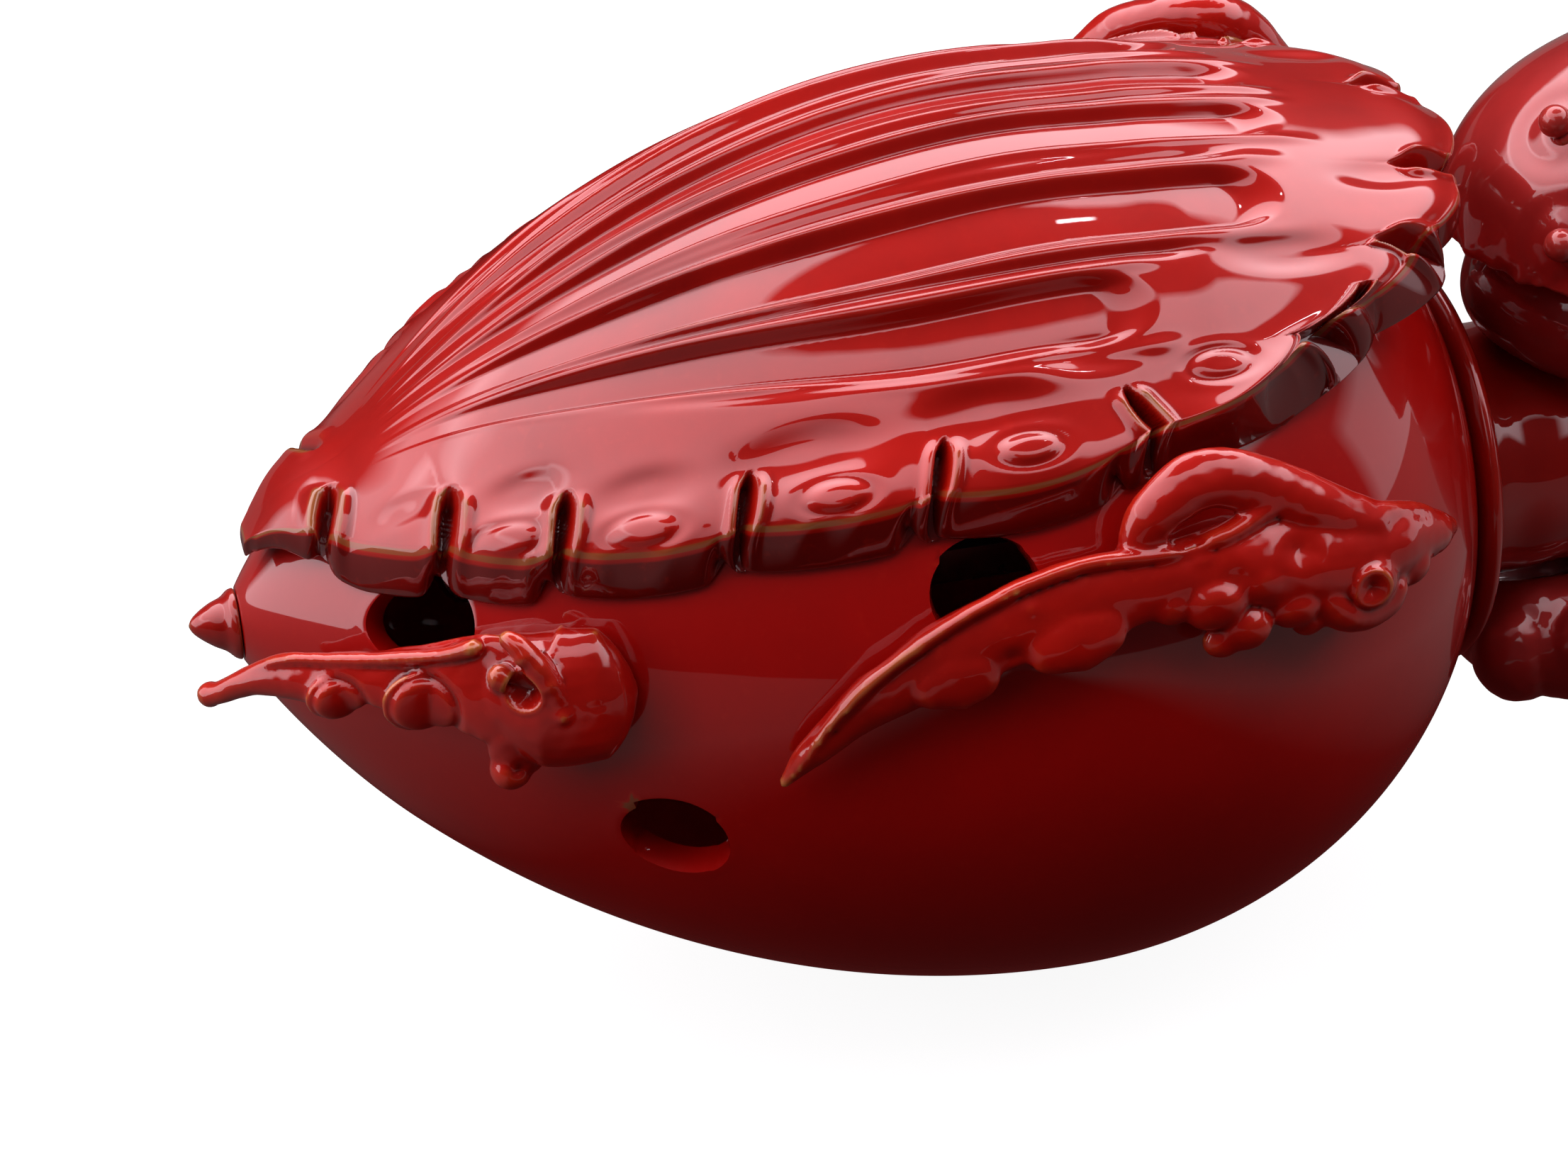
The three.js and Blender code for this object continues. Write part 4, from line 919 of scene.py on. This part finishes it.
def head_piece():
    hood = ball(HOOD_AT, HOOD_SIZE, 60)
    shell, faces = hood
    low = shell[:, 2] < HOOD_AT[2]
    shell[low, 2] = HOOD_AT[2] - (HOOD_AT[2] - shell[low, 2]) * 0.06
    cheeks = ball((51.5, 0, AXIS_Z + 13), (17.6, 11.6, 7.8), 40)
    core = ball((56, 0, AXIS_Z + 5), (16.3, 12.3, 13.8), 40)
    obj = merge("head", [(shell, faces), cheeks, core], 0.34, 5)

    def relief(co):
        rim = np.exp(-((co[:, 2] - HOOD_AT[2]) / 1.3) ** 2)
        high = 0.5 * rim * lumps(co, 0.42, 4.0) + 0.25 * lumps(co, 0.12, 9.0, 1)
        high = high + 0.1 * rim * lumps(co, 1.6, 6.0, 1)
        for at in KNOBS:
            high = high + ring_mark(co, at, 2.6, 0.9, -0.22)
        for at, size in (((34.6, -6.6, 26.6), 1.5), ((37.6, -9.8, 24.6), 1.6), ((38.2, -3.4, 31.2), 1.4)):
            high = high + dent(co, np.add(at, (0, 0, AXIS_Z)), size, 0.3)
        return high

    shape_skin(obj, relief)
    co = read_points(obj) / MM
    throat = (co[:, 0] < neck_high[0] + 0.3) & (np.hypot(co[:, 1], co[:, 2] - AXIS_Z) < NECK_R + 0.55)
    r = np.hypot(co[:, 1], co[:, 2] - AXIS_Z).clip(1e-6)
    push_out = throat & (r > 4.5) & (co[:, 0] < neck_high[0] - 1.5)
    scale = np.where(push_out, (NECK_R + 0.55) / r, 1)
    co[:, 1] *= scale
    co[:, 2] = AXIS_Z + (co[:, 2] - AXIS_Z) * scale
    write_points(obj, co * MM)
    mark_edges(obj)
    return finish_piece(obj, LOWER, DARK_RED, "dark_enamel", "head")


def knobs():
    for name, at in zip(("upper_knob", "lower_knob"), KNOBS):
        out = (at - HOOD_AT) / HOOD_SIZE ** 2
        out /= np.linalg.norm(out)
        tip = ball(at + out * 0.9, (1.15, 1.15, 1.15))
        foot = ball(at + out * 0.2 + (0.3, -0.5, -0.7), (0.8, 0.8, 0.8))
        obj = merge(name, [tip, foot], 0.09, 5)
        mark_edges(obj, 2)
        finish_piece(obj, LOWER, DARK_RED, "dark_enamel", name)


def chin():
    shapes = [ball((43.5, 0, AXIS_Z - 13.5), (9.6, 11.2, 6.6), 34)]
    shapes.append(ball((38.2, -6.5, AXIS_Z - 14.2), (3.6, 3.2, 4.0), 20))
    shapes.append(ball((41.8, -9.2, AXIS_Z - 12.6), (2.6, 2.0, 3.6), 20))
    shapes.append(ball((37.4, 5.0, AXIS_Z - 15.2), (3.4, 3.4, 3.0), 20))
    obj = merge("chin", shapes, 0.26, 6)
    shape_skin(obj, lambda co: 0.3 * lumps(co, 0.25, 2.0, 1) + 0.04 * lumps(co, 1.2, 7.0, 1))
    co = read_points(obj) / MM
    r = np.hypot(co[:, 1], co[:, 2] - AXIS_Z).clip(1e-6)
    scale = np.maximum(1, (NECK_R + 0.4) / r)
    co[:, 1] *= scale
    co[:, 2] = AXIS_Z + (co[:, 2] - AXIS_Z) * scale
    write_points(obj, co * MM)
    mark_edges(obj)
    return finish_piece(obj, LOWER, DARK_RED, "dark_enamel", "chin")


belly()
carapace()
for far_or_near in (-1, 1):
    front_claw(far_or_near)
    rear_claw(far_or_near)
turned_pieces()
head_piece()
knobs()
chin()

for name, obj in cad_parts.items():
    if obj.hide_render:
        continue
    obj.data.materials.clear()
    if name in ("base_pad", "closing_bumper"):
        obj.data.materials.append(RUBBER)
    elif "plate" in name and "screw" not in name:
        obj.data.materials.append(STEEL)
    else:
        obj.data.materials.append(TURNED_STEEL)


# ---- studio --------------------------------------------------------------------------
def studio_floor():
    """White to the camera; to the enamel it glows, with a dark red painted shadow close by and paler to the
    left and right.
    """
    size = 3000
    floor = new_mesh("floor", [(-size, -size, 0), (size, -size, 0), (size, size, 0), (-size, size, 0)],
                     [(0, 1, 2, 3)], False)
    n = Nodes("pale_floor")
    rays = n.add("LightPath")
    place = n.add("SeparateXYZ", {0: n.add("TexCoord").outputs["Object"]})
    away = n.maths("MULTIPLY", n.maths("ABSOLUTE", place.outputs[0]), 1 / MM)
    # painted shadow: the glow seen in reflections is dark red near the object and paler further away
    painted_shadow_glow = n.ramp(n.maths("DIVIDE", away, 200.0, True), [(0.22, (0.06, 0.008, 0.008, 1)), (0.42, grey(0.16))])
    painted_shadow_emission = n.add("Emission", {"Color": painted_shadow_glow, "Strength": 1.0}).outputs[0]
    pale = n.add("BsdfDiffuse", {"Color": grey(0.2)}).outputs[0]
    bright = n.add("Emission", {"Color": grey(1), "Strength": 0.92}).outputs[0]
    shown = n.add("AddShader", {0: pale, 1: bright}).outputs[0]
    seen = n.add("MixShader", {0: rays.outputs["Is Camera Ray"], 1: painted_shadow_emission, 2: shown}).outputs[0]
    floor.data.materials.append(n.finish(seen))


def window(n, axes, centre, half, soft=0.03):
    """1 inside a soft-edged rectangle of directions, 0 outside it."""
    total = None
    for axis, c, h in zip(axes, centre, half):
        off = n.maths("ABSOLUTE", n.maths("SUBTRACT", axis, c))
        inside = n.maths("DIVIDE", n.maths("SUBTRACT", h, off), soft, True)
        total = inside if total is None else n.maths("MULTIPLY", total, inside)
    return total


def spot(n, axes, centre, radii, soft=0.08):
    """1 inside a soft-edged ellipse of directions, 0 outside it."""
    total = 0.0
    for axis, c, r in zip(axes, centre, radii):
        off = n.maths("DIVIDE", n.maths("SUBTRACT", axis, c), r)
        total = n.maths("ADD", n.maths("MULTIPLY", off, off), total)
    return n.maths("DIVIDE", n.maths("SUBTRACT", 1.0 + soft, total), 2 * soft, True)


def studio_light():
    """A wide soft roof, dark straight overhead and on the camera's side, and a window at each end."""
    world = bpy.data.worlds.new("studio")
    bpy.context.scene.world = world
    world.use_nodes = True
    tree = world.node_tree
    tree.nodes.clear()
    n = Nodes.__new__(Nodes)
    n.tree = tree
    ray = n.add("TexCoord").outputs["Generated"]
    part = n.add("SeparateXYZ", {0: ray})
    x, y, z = part.outputs[0], part.outputs[1], part.outputs[2]
    up = n.maths("GREATER_THAN", z, 0.0)
    roof = n.ramp(n.maths("ADD", n.maths("MULTIPLY", z, 0.5), 0.5), [(0.745, grey(0)), (0.775, grey(1))])
    gap = n.maths("MULTIPLY", n.maths("MAXIMUM", spot(n, (x, y), (0.08, 0.14), (0.46, 0.3)),
                                      spot(n, (x, y), (-0.33, -0.5), (0.1, 0.09))), up)
    wall = window(n, (x, y), (0.05, -0.85), (0.5, 0.42), 0.1)
    open_roof = n.maths("MULTIPLY", roof, n.maths("SUBTRACT", 1.0, n.maths("MAXIMUM", gap, wall)))
    to_the_head = n.maths("ADD", n.maths("MULTIPLY", x, 0.25), 1.0)
    brighter = n.maths("ADD", n.maths("MULTIPLY", y, 0.8), to_the_head)
    open_roof = n.maths("MULTIPLY", open_roof, brighter)
    lamp = n.maths("MULTIPLY", window(n, (x, y), (0.3, 0.33), (0.035, 0.012), 0.008), up)
    right = window(n, (y, z), (0.1, 0.12), (0.34, 0.22), 0.08)
    right = n.maths("MULTIPLY", right, n.maths("GREATER_THAN", x, 0.5))
    left = window(n, (y, z), (0.2, 0.25), (0.5, 0.36), 0.1)
    left = n.maths("MULTIPLY", left, n.maths("LESS_THAN", x, -0.5))
    level = n.maths("ADD", n.maths("MULTIPLY", open_roof, 3.0), 0.03)
    level = n.maths("ADD", level, n.maths("MULTIPLY", lamp, 30.0))
    level = n.maths("ADD", level, n.maths("MULTIPLY", right, 1.0))
    level = n.maths("ADD", level, n.maths("MULTIPLY", left, 2.8))
    studio = n.add("Background", {"Color": (1.0, 0.9, 0.96, 1), "Strength": level}).outputs[0]
    white = n.add("Background", {"Color": grey(1), "Strength": 1.0}).outputs[0]
    rays = n.add("LightPath")
    seen = n.add("MixShader", {0: rays.outputs["Is Camera Ray"], 1: studio, 2: white}).outputs[0]
    n.add("OutputWorld", {"Surface": seen})


def camera():
    azimuth = math.radians(-14.7)
    elevation = math.radians(35.9)
    distance = 273.5
    data = bpy.data.cameras.new("camera")
    data.lens = 89.1
    data.sensor_width = 36
    data.clip_start = 0.01
    obj = bpy.data.objects.new("camera", data)
    bpy.context.scene.collection.objects.link(obj)
    towards = Vector((math.sin(azimuth) * math.cos(elevation), -math.cos(azimuth) * math.cos(elevation),
                      math.sin(elevation)))
    target = Vector((-16.1, 0.0, AXIS_Z - 3.0))
    obj.location = (target + towards * distance) * MM
    obj.rotation_euler = (-towards).to_track_quat("-Z", "Y").to_euler()
    bpy.context.scene.camera = obj


studio_floor()
studio_light()
camera()
bpy.context.scene.view_settings.view_transform = "Standard"
